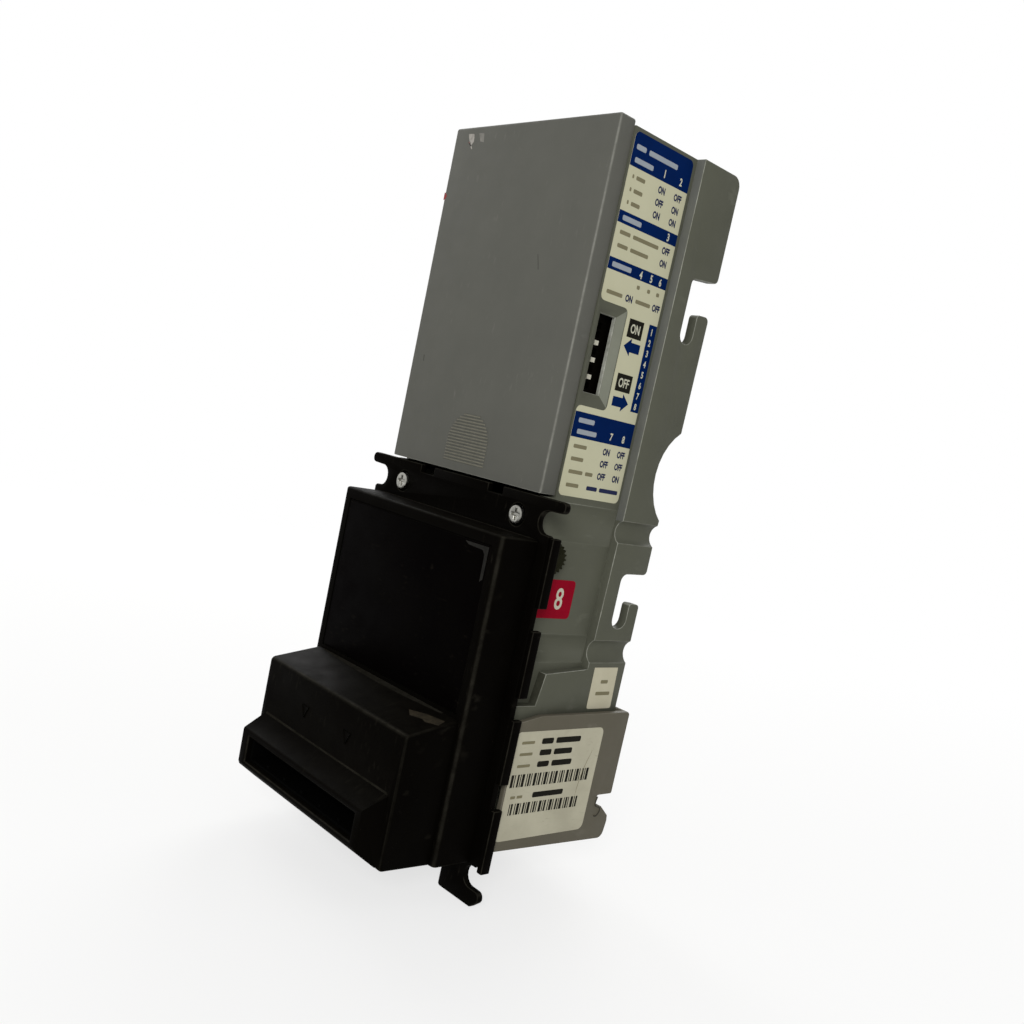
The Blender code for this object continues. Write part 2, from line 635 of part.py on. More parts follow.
def build_transport(black, steel, nylon, rubber, motor_metal, chassis):
    """Motor, gear train, shafts, rollers, pulleys and belts."""
    motor = [rod("X", MOTOR, 12.0, -8.0, 30.2, 24), rod("X", MOTOR, 5.0, -10.0, -7.0, 16)]
    make("transport_motor", motor_metal, chassis, motor)
    bracket = [
        box((30.5, 32.5), (3.0, 31.0), (-37.0, -9.0)),
        box((30.5, 39.2), (29.0, 31.0), (-24.0, -9.0)),
    ]
    make("motor_bracket", steel, chassis, bracket, [rod("X", MOTOR, 4.0, 29.0, 34.0, 16)])

    pinion_body = make_body("motor_pinion_axis", (GEAR_X[0], *MOTOR), chassis)
    pinion_shape = prism("X", gear_outline(MOTOR, PINION_TEETH, MODULE, MOTOR_PHASE), *GEAR_X)
    make("motor_pinion", nylon, pinion_body, [pinion_shape, rod("X", MOTOR, 1.5, 30.6, 35.0, 12)])

    thumb = make_body("thumb_wheel_axis", (PANEL_OUT, *THUMB), chassis)
    make("thumb_shaft", steel, thumb, [rod("X", THUMB, AXLE_R, 34.2, 46.6)])
    transfer = gear(THUMB, TRANSFER_TEETH, MODULE, TRANSFER_PHASE, AXLE_R + GAP, GEAR_X)
    make("transfer_gear", nylon, thumb, [transfer])
    make("thumb_wheel", black, thumb, [gear(THUMB, 20, 0.52, 0.0, AXLE_R + GAP, (43.9, 46.2))])

    for name, centre, phase in (
        ("idler_gear_upper", IDLER_UP, IDLER_UP_PHASE),
        ("idler_gear_lower", IDLER_LOW, IDLER_LOW_PHASE),
    ):
        axle = make_body(f"{name}_axis", (GEAR_X[0], *centre), chassis)
        make(name, nylon, axle, [gear(centre, IDLER_TEETH, MODULE, phase, AXLE_R + GAP, GEAR_X)])

    feed = make_body("feed_shaft_axis", (0.0, *FEED), chassis)
    make("feed_shaft", steel, feed, [rod("X", FEED, SHAFT_R, -42.8, 42.8)])
    make("feed_gear", nylon, feed, [gear(FEED, ROLLER_TEETH, MODULE, FEED_PHASE, SHAFT_R + GAP, GEAR_X)])
    lift = make_body("lift_shaft_axis", (0.0, *LIFT), chassis)
    make("lift_shaft", steel, lift, [rod("X", LIFT, SHAFT_R, -43.0, 43.0)])
    make("lift_gear", nylon, lift, [gear(LIFT, ROLLER_TEETH, MODULE, LIFT_PHASE, SHAFT_R + GAP, GEAR_X)])
    upper = make_body("upper_shaft_axis", (0.0, *UPPER), chassis)
    make("upper_shaft", steel, upper, [rod("X", UPPER, SHAFT_R, -43.0, 43.0)])

    for side, word in ((1, "right"), (-1, "left")):
        roller_x = span(side, FEED_ROLLER_X - 5.0, FEED_ROLLER_X + 5.0)
        pulley_x = span(side, BELT_X - 2.2, BELT_X + 2.2)
        bore = SHAFT_R + GAP
        make(f"feed_roller_{word}", rubber, feed, [tube("X", FEED, FEED_ROLLER_R, bore, *roller_x)])
        make(f"lift_pulley_{word}", nylon, lift, [tube("X", LIFT, PULLEY_R, bore, *pulley_x, 16)])
        make(f"upper_pulley_{word}", nylon, upper, [tube("X", UPPER, PULLEY_R, bore, *pulley_x, 16)])
        loops = [
            arc(UPPER, radius, 0.0, math.pi, 8) + arc(LIFT, radius, math.pi, math.tau, 8)
            for radius in (PULLEY_R + 1.5, PULLEY_R + 0.35)
        ]
        belt_x = span(side, BELT_X - 2.0, BELT_X + 2.0)
        make(f"belt_{word}", rubber, chassis, [ring("X", *loops, *belt_x)])


def rack_outline(front, rear, base):
    """The pusher's rack in Y and Z: straight teeth with a gap under the pinion's axis."""
    pitch = math.pi * STACKER_MODULE
    tip, root = RACK_LINE + 0.7 * STACKER_MODULE, RACK_LINE - 1.0 * STACKER_MODULE
    points = [(rear, base), (front, base), (front, root)]
    tooth = STACKER_Y - pitch / 2
    while tooth < rear - pitch / 2:
        if tooth > front + pitch / 2:
            for share, height in ((-0.3, root), (-0.12, tip), (0.12, tip), (0.3, root)):
                points.append((tooth + share * pitch, height))
        tooth += pitch
    points.append((rear, root))
    return points


def build_stacker(dark, nylon, steel, motor_metal, chassis):
    """The pusher with its rack, the shaft that drives it, and the stacker motor."""
    motor = [rod("X", STACKER_MOTOR, 7.6, -24.0, 9.8, 20), rod("X", STACKER_MOTOR, 3.0, -25.5, -23.0, 12)]
    make("stacker_motor", motor_metal, chassis, motor)
    cheeks = [box(xs, (43.2, 58.2), (64.0, 79.4)) for xs in ((-7.0, -5.0), (6.0, 8.0))]
    bridge = box((-7.0, 8.0), (55.0, 58.2), (75.0, 79.4))
    bores = [rod("X", STACKER, 1.6 + GAP, -9.0, 10.0, 14)]
    make("stacker_bracket", steel, chassis, [cheeks[0], cheeks[1], bridge], bores)

    shaft = make_body("stacker_shaft_axis", (0.0, *STACKER), chassis)
    teeth = gear_outline(STACKER, RACK_PINION_TEETH, STACKER_MODULE, STACKER_PHASE)
    make("stacker_shaft", steel, shaft, [prism("X", teeth, -3.0, 3.0), rod("X", STACKER, 1.6, -8.0, 15.6, 14)])
    drive = gear(STACKER, STACKER_TEETH, STACKER_MODULE, STACKER_PHASE, 1.6 + GAP, STACKER_GEAR_X)
    make("stacker_gear", nylon, shaft, [drive])

    pinion = make_body("stacker_pinion_axis", (STACKER_GEAR_X[0], *STACKER_MOTOR), chassis)
    teeth = gear_outline(STACKER_MOTOR, STACKER_MOTOR_TEETH, STACKER_MODULE, STACKER_MOTOR_PHASE)
    pin = rod("X", STACKER_MOTOR, 1.2, 10.1, 13.0, 12)
    make("stacker_motor_pinion", nylon, pinion, [prism("X", teeth, *STACKER_GEAR_X), pin])

    pusher = make_body("pusher_axis", (0.0, PUSHER_REAR, RACK_LINE), chassis)
    plate = box((-23.0, 23.0), (PUSHER_FRONT, PUSHER_REAR), (25.0, 115.0))
    rack = prism("X", rack_outline(PUSHER_REAR - 0.5, 58.0, RACK_LINE - 5.5), -2.6, 2.6)
    gear_gap = box((11.2, 15.8), (30.0, 45.0), (66.0, 84.0))
    make("pusher", dark, pusher, [plate, rack], [gear_gap])


def build_magazine(grey, dark, steel, chassis):
    """The door that closes the bill store, with its pressure plate and coil spring."""
    door = make_body("magazine_door_slide", (0.0, DOOR_FRONT, DOOR_BOTTOM), chassis)
    back = DOOR_FRONT + DOOR_WALL
    half, height = (-DOOR_HALF, DOOR_HALF), (DOOR_BOTTOM, DOOR_TOP)
    front = outline(
        (-DOOR_HALF, back), (-DOOR_HALF, DOOR_FRONT, 1.0), (DOOR_HALF, DOOR_FRONT, 1.0), (DOOR_HALF, back)
    )
    solids = [prism("Z", front, *height)]
    solids += [box(span(side, 40.9, DOOR_HALF), (back - 0.5, DOOR_RIM_BACK), height) for side in (1, -1)]
    solids += [
        box(half, (back - 0.5, DOOR_RIM_BACK), (SIDE_TOP + 0.1, DOOR_TOP)),
        box((-39.2, 39.2), (back - 0.5, 33.8), (131.6, 133.6)),
        box((-39.2, 39.2), (back - 0.5, 5.0), (133.0, 135.4)),
    ]
    make("magazine_door", grey, door, solids)

    plate = make_body("pressure_plate_slide", (0.0, 29.0, 71.0), door)
    sheet = box((-31.0, 31.0), (27.0, 29.0), (18.0, 124.0))
    lips = [box((-31.0, 31.0), (24.0, 27.5), zs) for zs in ((18.0, 19.5), (122.5, 124.0))]
    make("pressure_plate", dark, plate, [sheet, *lips])
    build_pressure_spring(steel, door)


def build_pressure_spring(steel, door):
    """A conical coil between the door and the pressure plate, as one unbroken tube."""
    turns, points_per_turn, wire = 5, 12, 0.6
    wide, narrow, near, far, middle = 17.0, 9.0, 2.9, 26.0, 71.0
    count = turns * points_per_turn
    route = []
    for i in range(count + 1):
        share = i / count
        angle = math.tau * turns * share
        radius = wide + (narrow - wide) * share
        route.append(
            Vector((radius * math.cos(angle), near + (far - near) * share, middle + radius * math.sin(angle)))
        )
    gaps = [(route[i] - route[i + points_per_turn]).length for i in range(count + 1 - points_per_turn)]
    print(f"pressure spring: least gap between turns {min(gaps) - 2 * wire:.2f} mm")
    curve = bpy.data.curves.new("pressure_spring", "CURVE")
    curve.dimensions = "3D"
    curve.bevel_depth = wire * MM
    curve.bevel_resolution = 1
    curve.use_fill_caps = True
    spline = curve.splines.new("POLY")
    spline.points.add(count)
    for point, here in zip(spline.points, route):
        point.co = (*((here - door.point) * MM), 1.0)
    curve.materials.append(steel)
    spring = bpy.data.objects.new("pressure_spring", curve)
    spring.parent = door.empty
    bpy.context.collection.objects.link(spring)


def build_lower_housing(grey, dark, board, rubber, chassis):
    """The tray that carries the lower bill guide, the idler rollers and a sensor board."""
    tray = make_body("lower_housing_slide", (0.0, HOUSING_FRONT, HOUSING_BOTTOM), chassis)
    inner = HOUSING_HALF - HOUSING_WALL
    side_shape = outline(
        (HOUSING_FRONT, -70.4),
        (16.6, HOUSING_TOP),
        (HOUSING_REAR, HOUSING_TOP, 1.5),
        (HOUSING_REAR, -101.6, 0.8),
        (56.6, -101.6, 0.8),
        (57.0, -105.4, 0.8),
        (60.8, -106.6),
        (65.6, -110.6, 0.8),
        (66.0, -113.0, 1.5),
        (65.0, HOUSING_BOTTOM, 3.0),
        (HOUSING_FRONT, HOUSING_BOTTOM + 1.6),
    )
    hollow = [
        (HOUSING_FRONT - 2.0, HOUSING_TOP + 4.0),
        (54.6, HOUSING_TOP + 4.0),
        (54.6, -107.0),
        (63.0, -113.0),
        (63.0, HOUSING_BOTTOM + HOUSING_WALL),
        (HOUSING_FRONT - 2.0, HOUSING_BOTTOM + HOUSING_WALL),
    ]
    solids = [prism("X", side_shape, -HOUSING_HALF, HOUSING_HALF)]
    cuts = [
        prism("X", hollow, -inner, inner),
        box((-inner, inner), (50.0, HOUSING_REAR - HOUSING_WALL), (-99.4, HOUSING_TOP + 4.0)),
    ]
    make("lower_housing", grey, tray, solids, cuts)

    bend = bend_outline(BEND_OUTER, BEND_OUTER + GUIDE_THICK, 3.6, -68.9)
    solids = [prism("X", bend, -GUIDE_HALF, GUIDE_HALF)]
    guide_floor = BEND_Z - BEND_OUTER - GUIDE_THICK + 0.3
    feet_z = (HOUSING_BOTTOM + HOUSING_WALL + GAP, guide_floor)
    solids += [box((x - 1.0, x + 1.0), (6.0, 22.0), feet_z) for x in (-29.0, 0.0, 29.0)]
    cuts = [rod("X", IDLER_ROLLER, 1.5, -25.0, 25.0, 12)]
    for side in (1, -1):
        ears = ((FEED_ROLLER_X - 6.4, FEED_ROLLER_X - 5.1), (FEED_ROLLER_X + 5.1, FEED_ROLLER_X + 6.4))
        solids += [box(span(side, *ear), (11.0, 17.0), (feet_z[0], -110.9)) for ear in ears]
        window = span(side, FEED_ROLLER_X - 4.9, FEED_ROLLER_X + 4.9)
        cuts.append(box(window, (9.0, 19.0), (-116.0, -108.0)))
    make("lower_guide", dark, tray, solids, cuts)
    make("lower_sensor_board", board, tray, [box((-32.0, 32.0), (30.0, 54.0), (-116.6, -115.2))])

    for side, word in ((1, "right"), (-1, "left")):
        middle = side * FEED_ROLLER_X
        roller = make_body(f"idler_roller_{word}_axis", (middle, *IDLER_ROLLER), tray)
        tyre = rod("X", IDLER_ROLLER, IDLER_ROLLER_R, middle - 4.2, middle + 4.2, 16)
        journal = rod("X", IDLER_ROLLER, 1.2, middle - 6.2, middle + 6.2, 12)
        make(f"idler_roller_{word}", rubber, roller, [tyre, journal])


def build_electronics(black, ivory, board, chassis):
    """Control, sensor and switch boards, the switch block and its eight sliders."""
    chips = [box((-37.2, -34.6), ys, zs) for ys, zs in (((9.0, 21.0), (-40.0, -28.0)), ((8.0, 26.0), (-78.0, -66.0)))]
    make("control_board", board, chassis, [box((-38.8, -37.0), (5.0, 33.0), (-94.0, -8.0)), *chips])
    make("upper_sensor_board", board, chassis, [box((-33.0, 33.0), (-33.0, -5.0), (-103.2, -101.8))])
    make("switch_board", board, chassis, [box((33.9, 35.2), (8.0, 30.0), (40.0, 80.0))])
    rows = [SLIDER_TOP_Z - SLIDER_PITCH * i for i in range(SLIDER_COUNT)]
    slots = [box((37.0, 40.0), (11.3, 16.5), (z - 1.1, z + 1.1)) for z in rows]
    make("dip_switch_body", black, chassis, [box((35.6, 38.4), (9.6, 22.6), (45.6, 73.6))], slots)
    for number, z in enumerate(rows, start=1):
        low = SLIDER_OFF_Y if number in SLIDERS_OFF else SLIDER_ON_Y
        slide = make_body(f"dip_slide_{number}", (38.4, low, z), chassis)
        knob = box((37.2, 38.9), (low, low + SLIDER_WIDTH), (z - 0.8, z + 0.8))
        make(f"dip_slider_{number}", ivory, slide, [knob])


def main():
    """Build every sub-assembly."""
    clear_scene()
    grey = make_material("grey_abs", (0.235, 0.235, 0.225), 0.5)
    black = make_material("black_abs", (0.012, 0.012, 0.012), 0.42)
    panel = make_material("black_panel", (0.016, 0.015, 0.014), 0.35)
    dark = make_material("dark_guide_plastic", (0.03, 0.03, 0.032), 0.45)
    ivory = make_material("ivory_slider", (0.72, 0.70, 0.62), 0.4)
    nylon = make_material("natural_nylon", (0.68, 0.66, 0.58), 0.45)
    rubber = make_material("black_rubber", (0.02, 0.02, 0.02), 0.8)
    steel = make_material("zinc_steel", (0.60, 0.60, 0.58), 0.32, 1.0)
    motor_metal = make_material("motor_can", (0.45, 0.45, 0.46), 0.35, 1.0)
    board = make_material("circuit_board", (0.02, 0.13, 0.06), 0.45)

    chassis = make_body("bill_validator")
    build_side_wall("right_side_wall", 1, grey, chassis)
    build_side_wall("left_side_wall", -1, grey, chassis)
    build_bezel(black, panel, steel, chassis)
    build_mouth_guide(dark, chassis)
    build_bill_path(dark, chassis)
    build_rear_cover(grey, black, chassis)
    build_transport(black, steel, nylon, rubber, motor_metal, chassis)
    build_stacker(dark, nylon, steel, motor_metal, chassis)
    build_magazine(grey, dark, steel, chassis)
    build_lower_housing(grey, dark, board, rubber, chassis)
    build_electronics(black, ivory, board, chassis)
    print(f"gear axes y, z in mm: motor {MOTOR}, idlers {IDLER_UP} {IDLER_LOW}, lift {LIFT}, feed {FEED}")
    print(f"idler rollers {IDLER_ROLLER}, stacker motor {STACKER_MOTOR}")


main()
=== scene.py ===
"""Looks of a door-mounted bill validator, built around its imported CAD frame.

Sizes are in millimetres and MM turns them into metres. The frame is the CAD frame: +X to the right
seen from the front, +Y to the rear, +Z up, with the origin on the front face of the bezel's flange.
"""

from __future__ import annotations

import json
import logging
import math
from collections.abc import Iterable, Sequence
from dataclasses import dataclass, field
from enum import Enum

import bmesh
import bpy
from mathutils import Matrix, Vector

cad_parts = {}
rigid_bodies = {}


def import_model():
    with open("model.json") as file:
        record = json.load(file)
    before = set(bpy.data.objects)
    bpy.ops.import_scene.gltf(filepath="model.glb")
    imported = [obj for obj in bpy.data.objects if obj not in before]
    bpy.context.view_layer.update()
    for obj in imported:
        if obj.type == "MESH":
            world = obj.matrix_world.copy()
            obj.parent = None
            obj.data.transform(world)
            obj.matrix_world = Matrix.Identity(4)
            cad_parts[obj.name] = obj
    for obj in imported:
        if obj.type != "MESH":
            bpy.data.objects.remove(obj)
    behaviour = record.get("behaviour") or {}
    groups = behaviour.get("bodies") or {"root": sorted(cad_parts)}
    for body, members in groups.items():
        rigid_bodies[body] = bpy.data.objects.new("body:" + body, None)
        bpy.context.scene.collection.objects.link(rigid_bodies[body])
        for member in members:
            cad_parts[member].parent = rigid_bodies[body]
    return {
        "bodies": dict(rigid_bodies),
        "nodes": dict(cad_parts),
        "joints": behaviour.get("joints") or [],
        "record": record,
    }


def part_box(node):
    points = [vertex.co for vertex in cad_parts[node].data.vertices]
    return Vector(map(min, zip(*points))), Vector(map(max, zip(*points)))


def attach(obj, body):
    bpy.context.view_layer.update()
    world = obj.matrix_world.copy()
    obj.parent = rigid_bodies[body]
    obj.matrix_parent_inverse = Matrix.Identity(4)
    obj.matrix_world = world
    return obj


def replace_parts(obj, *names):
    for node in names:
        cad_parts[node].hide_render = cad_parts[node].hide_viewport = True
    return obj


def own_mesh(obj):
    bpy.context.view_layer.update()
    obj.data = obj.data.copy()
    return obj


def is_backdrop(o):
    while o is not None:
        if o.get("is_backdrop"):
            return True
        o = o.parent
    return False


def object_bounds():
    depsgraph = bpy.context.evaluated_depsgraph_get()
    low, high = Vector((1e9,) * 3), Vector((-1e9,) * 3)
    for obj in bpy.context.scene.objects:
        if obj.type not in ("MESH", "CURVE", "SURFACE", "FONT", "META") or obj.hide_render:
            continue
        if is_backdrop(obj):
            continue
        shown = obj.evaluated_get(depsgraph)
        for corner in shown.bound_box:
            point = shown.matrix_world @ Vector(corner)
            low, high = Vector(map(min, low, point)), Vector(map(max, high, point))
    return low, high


MM = 0.001
# The layer of the rounded edges that are painted paler, as rubbing and as a painted highlight
WEAR_AND_HIGHLIGHT_LAYER = "wear_and_highlight"
# The box of the tight seam between the door and the side walls, whose edges stay sharp
SEAM = ((-99.0, 6.6, -99.0), (99.0, 7.5, 135.0))
# Edges shorter than this, in millimetres, are slivers left by the CAD cuts
SLIVER = 0.25
# Merging distances of CAD nodes, in metres, and of curves, in their own unit
NODE_MERGE = 2e-6
CURVE_MERGE = 1e-5
# CAD facets that bend less than this are one flat face
FLAT = math.radians(0.6)
# Edges that bend more than this get rounded, and pieces shade smooth below the second angle
SHARP = math.radians(38)
SMOOTH = math.radians(32)
# Strips in a rounded plate corner, a rounded edge and a broadly rounded edge
CORNER_STRIPS = 4
EDGE_STRIPS = 2
BROAD_STRIPS = 3
# Spare room asked for beside a rounding, and the least corner angle that counts
ROOM_MARGIN = 1.02
LEAST_ANGLE = 0.01
# A strip of a rounding: its greatest width in millimetres and the bends at its long edges
STRIP_WIDTH = 1.2
LEAST_BEND = math.radians(5)
MOST_BEND = math.radians(60)
# How far a normal leans from the axes where an edge's rubbed paleness and painted highlight are full
FULL_LEAN = 0.25
# Sizes in millimetres of scuffed patches, dust specks, rubbed patches and handled patches
SCUFFED_PATCH = 18.0
DUST_SPECK = 6.0
RUBBED_PATCH = 5.0
HANDLED_PATCH = 9.0
# Share of the rubbed paleness and painted highlight that is left where an edge is least rubbed
LEAST_RUBBED = 0.3
# How far handling moves the roughness either way
GLOSS_SPREAD = 0.07
LOG = logging.getLogger("bill_validator")

Socket = bpy.types.NodeSocket
Corner = tuple[float, ...]
Box = tuple[Corner, Corner]


def linear(colour: str) -> tuple[float, float, float, float]:
    """Turn an sRGB hex colour into opaque linear RGBA.

    Args:
        colour: six hex digits after a hash sign.

    Returns:
        Red, green, blue and alpha.
    """
    parts = [int(colour[i : i + 2], 16) / 255 for i in (1, 3, 5)]
    red, green, blue = (p / 12.92 if p <= 0.04045 else ((p + 0.055) / 1.055) ** 2.4 for p in parts)
    return red, green, blue, 1.0


def add_node(
    tree: bpy.types.NodeTree,
    kind: str,
    inputs: dict[int | str, object] | None = None,
    **settings: object,
) -> bpy.types.Node:
    """Add a node with its settings, and set or link its inputs.

    Args:
        tree: the node tree.
        kind: the node's type name.
        inputs: a value, or a socket to link from, for each input.
        settings: the node's own properties.

    Returns:
        The new node.
    """
    node = tree.nodes.new(kind)
    for name, value in settings.items():
        setattr(node, name, value)
    for name, value in (inputs or {}).items():
        if isinstance(value, Socket):
            tree.links.new(value, node.inputs[name])
        else:
            node.inputs[name].default_value = value
    return node


def per_metre(size_mm: float) -> float:
    """The texture scale that repeats about once in a length in millimetres."""
    return 1.0 / (size_mm * MM)


@dataclass(frozen=True)
class Finish:
    """A procedural material, made once and shared by the pieces that use it.

    The pattern is the same for every plastic, paper and metal here: slow mottling of the colour,
    handling scuffs in patches, dust on what faces up, and a fine relief.
    """

    name: str
    colour: str
    shade: str
    roughness: float = 0.5
    metallic: float = 0.0
    specular: float = 0.3
    mottle_mm: float = 24.0
    mottle: float = 0.5
    scuff: str = "#8a8880"
    scuff_share: float = 0.0
    scuff_mm: tuple[float, float, float] = (1.2, 9.0, 5.0)
    dust: str = "#8d8878"
    dust_share: float = 0.0
    grain_mm: float = 0.6
    relief_mm: float = 0.01
    wear_and_highlight: str = "#94948b"
    wear_and_highlight_share: float = 0.0

    def material(self) -> bpy.types.Material:
        """Return this finish's material, making it on first use."""
        found = bpy.data.materials.get(self.name)
        return found if found else self._make()

    def _make(self) -> bpy.types.Material:
        """Build the node graph.

        Returns:
            The new material.
        """
        material = bpy.data.materials.new(self.name)
        material.use_nodes = True
        material.diffuse_color = linear(self.colour)
        tree = material.node_tree
        shader = tree.nodes["Principled BSDF"]
        place = add_node(tree, "ShaderNodeTexCoord").outputs["Object"]
        colour = self._mottled(tree, place)
        if self.scuff_share > 0:
            colour = self._scuffed(tree, place, colour)
        if self.dust_share > 0:
            colour = self._dusty(tree, place, colour)
        if self.wear_and_highlight_share > 0:
            colour = self._worn_and_highlit(tree, place, colour)
        tree.links.new(colour, shader.inputs["Base Color"])
        tree.links.new(self._gloss(tree, place), shader.inputs["Roughness"])
        tree.links.new(self._relief(tree, place), shader.inputs["Normal"])
        shader.inputs["Metallic"].default_value = self.metallic
        if self.metallic == 0.0:
            shader.inputs["Specular IOR Level"].default_value = self.specular
        return material

    def _mottled(self, tree: bpy.types.NodeTree, place: Socket) -> Socket:
        """Drift between the colour and its shade, as moulded or printed stock does.

        Args:
            tree: the material's node tree.
            place: the piece's Object coordinates.

        Returns:
            The colour's socket.
        """
        cloud = add_node(
            tree,
            "ShaderNodeTexNoise",
            {"Vector": place, "Scale": per_metre(self.mottle_mm), "Detail": 5.0, "Roughness": 0.6},
        )
        share = add_node(
            tree,
            "ShaderNodeMapRange",
            {"Value": cloud.outputs["Fac"], "From Min": 0.35, "From Max": 0.7, "To Max": self.mottle},
        )
        return self._lay(tree, linear(self.colour), self.shade, share.outputs["Result"])

    def _scuffed(self, tree: bpy.types.NodeTree, place: Socket, colour: Socket) -> Socket:
        """Lay thin drawn-out scuffs over the colour, gathered in patches.

        Args:
            tree: the material's node tree.
            place: the piece's Object coordinates.
            colour: the colour so far.

        Returns:
            The new colour's socket.
        """
        stretched = add_node(
            tree,
            "ShaderNodeMapping",
            {"Vector": place, "Scale": [per_metre(size) for size in self.scuff_mm]},
        )
        lines = add_node(
            tree, "ShaderNodeTexNoise", {"Vector": stretched.outputs["Vector"], "Scale": 1.0, "Detail": 3.0}
        )
        patches = add_node(
            tree, "ShaderNodeTexNoise", {"Vector": place, "Scale": per_metre(SCUFFED_PATCH), "Detail": 2.0}
        )
        thin = add_node(
            tree, "ShaderNodeMapRange", {"Value": lines.outputs["Fac"], "From Min": 0.6, "From Max": 0.72}
        )
        where = add_node(
            tree,
            "ShaderNodeMapRange",
            {"Value": patches.outputs["Fac"], "From Min": 0.48, "From Max": 0.66},
        )
        shares = (thin.outputs["Result"], where.outputs["Result"], self.scuff_share)
        return self._lay(tree, colour, self.scuff, *shares)

    def _dusty(self, tree: bpy.types.NodeTree, place: Socket, colour: Socket) -> Socket:
        """Settle dust on the faces that look up.

        Args:
            tree: the material's node tree.
            place: the piece's Object coordinates.
            colour: the colour so far.

        Returns:
            The new colour's socket.
        """
        normal = add_node(tree, "ShaderNodeNewGeometry").outputs["Normal"]
        upward = add_node(tree, "ShaderNodeSeparateXYZ", {"Vector": normal}).outputs["Z"]
        facing = add_node(
            tree, "ShaderNodeMapRange", {"Value": upward, "From Min": 0.15, "From Max": 0.9, "To Max": 1.0}
        )
        specks = add_node(
            tree,
            "ShaderNodeTexNoise",
            {"Vector": place, "Scale": per_metre(DUST_SPECK), "Detail": 8.0, "Roughness": 0.75},
        )
        settled = add_node(
            tree, "ShaderNodeMapRange", {"Value": specks.outputs["Fac"], "From Min": 0.3, "From Max": 0.75}
        )
        shares = (facing.outputs["Result"], settled.outputs["Result"], self.dust_share)
        return self._lay(tree, colour, self.dust, *shares)

    def _worn_and_highlit(self, tree: bpy.types.NodeTree, place: Socket, colour: Socket) -> Socket:
        """Paint the rounded edges paler, as rubbing and as a painted highlight, more in some places than in
        others.

        Args:
            tree: the material's node tree.
            place: the piece's Object coordinates.
            colour: the colour so far.

        Returns:
            The new colour's socket.
        """
        rounded = add_node(tree, "ShaderNodeAttribute", attribute_name=WEAR_AND_HIGHLIGHT_LAYER).outputs["Fac"]
        patches = add_node(
            tree,
            "ShaderNodeTexNoise",
            {"Vector": place, "Scale": per_metre(RUBBED_PATCH), "Detail": 6.0, "Roughness": 0.7},
        )
        rubbed = add_node(
            tree,
            "ShaderNodeMapRange",
            {
                "Value": patches.outputs["Fac"],
                "From Min": 0.35,
                "From Max": 0.65,
                "To Min": LEAST_RUBBED * self.wear_and_highlight_share,
                "To Max": self.wear_and_highlight_share,
            },
        )
        return self._lay(tree, colour, self.wear_and_highlight, rounded, rubbed.outputs["Result"])

    def _gloss(self, tree: bpy.types.NodeTree, place: Socket) -> Socket:
        """Vary the roughness a little, as handling polishes or dulls it.

        Args:
            tree: the material's node tree.
            place: the piece's Object coordinates.

        Returns:
            The roughness's socket.
        """
        cloud = add_node(
            tree, "ShaderNodeTexNoise", {"Vector": place, "Scale": per_metre(HANDLED_PATCH), "Detail": 4.0}
        )
        spread = add_node(
            tree,
            "ShaderNodeMapRange",
            {
                "Value": cloud.outputs["Fac"],
                "From Min": 0.3,
                "From Max": 0.7,
                "To Min": max(0.05, self.roughness - GLOSS_SPREAD),
                "To Max": min(1.0, self.roughness + GLOSS_SPREAD),
            },
        )
        return spread.outputs["Result"]

    def _relief(self, tree: bpy.types.NodeTree, place: Socket) -> Socket:
        """Raise the fine grain, drawn a little coarser than life so that it shows.

        Args:
            tree: the material's node tree.
            place: the piece's Object coordinates.

        Returns:
            The normal's socket.
        """
        grain = add_node(
            tree, "ShaderNodeTexNoise", {"Vector": place, "Scale": per_metre(self.grain_mm), "Detail": 2.0}
        )
        bump = add_node(
            tree,
            "ShaderNodeBump",
            {"Height": grain.outputs["Fac"], "Strength": 0.6, "Distance": self.relief_mm * MM},
        )
        return bump.outputs["Normal"]

    @staticmethod
    def _lay(
        tree: bpy.types.NodeTree, below: Socket | Sequence[float], over: str, *shares: Socket | float
    ) -> Socket:
        """Lay a colour over another one, by the product of some shares.

        Args:
            tree: the material's node tree.
            below: the colour that is covered.
            over: the colour that covers it.
            shares: what is multiplied.

        Returns:
            The new colour's socket.
        """
        product, *others = shares
        for share in others:
            step = add_node(tree, "ShaderNodeMath", {0: product, 1: share}, operation="MULTIPLY")
            product = step.outputs[0]
        ends = {0: product, 6: below, 7: linear(over)}
        return add_node(tree, "ShaderNodeMix", ends, data_type="RGBA").outputs[2]


# Injection-moulded ABS with a fine spark-eroded grain: soft, even light, pale edges that are partly rubbed
# and partly a painted highlight
DOOR_ABS = Finish(
    "door_grey_abs",
    "#575751",
    "#4f4f4a",
    0.55,
    specular=0.1,
    scuff="#75756e",
    scuff_share=0.3,
    relief_mm=0.012,
    wear_and_highlight="#8a8a82",
    wear_and_highlight_share=0.9,
)
SIDE_ABS = Finish(
    "side_grey_abs",
    "#505146",
    "#494a40",
    0.55,
    specular=0.1,
    scuff="#6f7065",
    scuff_share=0.35,
    relief_mm=0.012,
    wear_and_highlight="#a6a79d",
    wear_and_highlight_share=0.95,
)
TRAY_ABS = Finish(
    "tray_grey_abs",
    "#5a564a",
    "#514d41",
    0.55,
    specular=0.1,
    scuff="#6f6b60",
    scuff_share=0.35,
    relief_mm=0.012,
    wear_and_highlight="#77736a",
    wear_and_highlight_share=0.6,
)
GRIP_ABS = Finish("grip_grey_abs", "#6a685d", "#605f55", 0.6, specular=0.08, mottle_mm=2.5, mottle=1.0)
# The side of the switch recess that faces the light, painted paler than the side as a painted highlight,
# and smoother
RECESS_HIGHLIGHT_ABS = Finish(
    "recess_painted_highlight_abs",
    "#74766a",
    "#6a6c61",
    0.4,
    specular=0.12,
    mottle_mm=6.0,
    relief_mm=0.004,
)
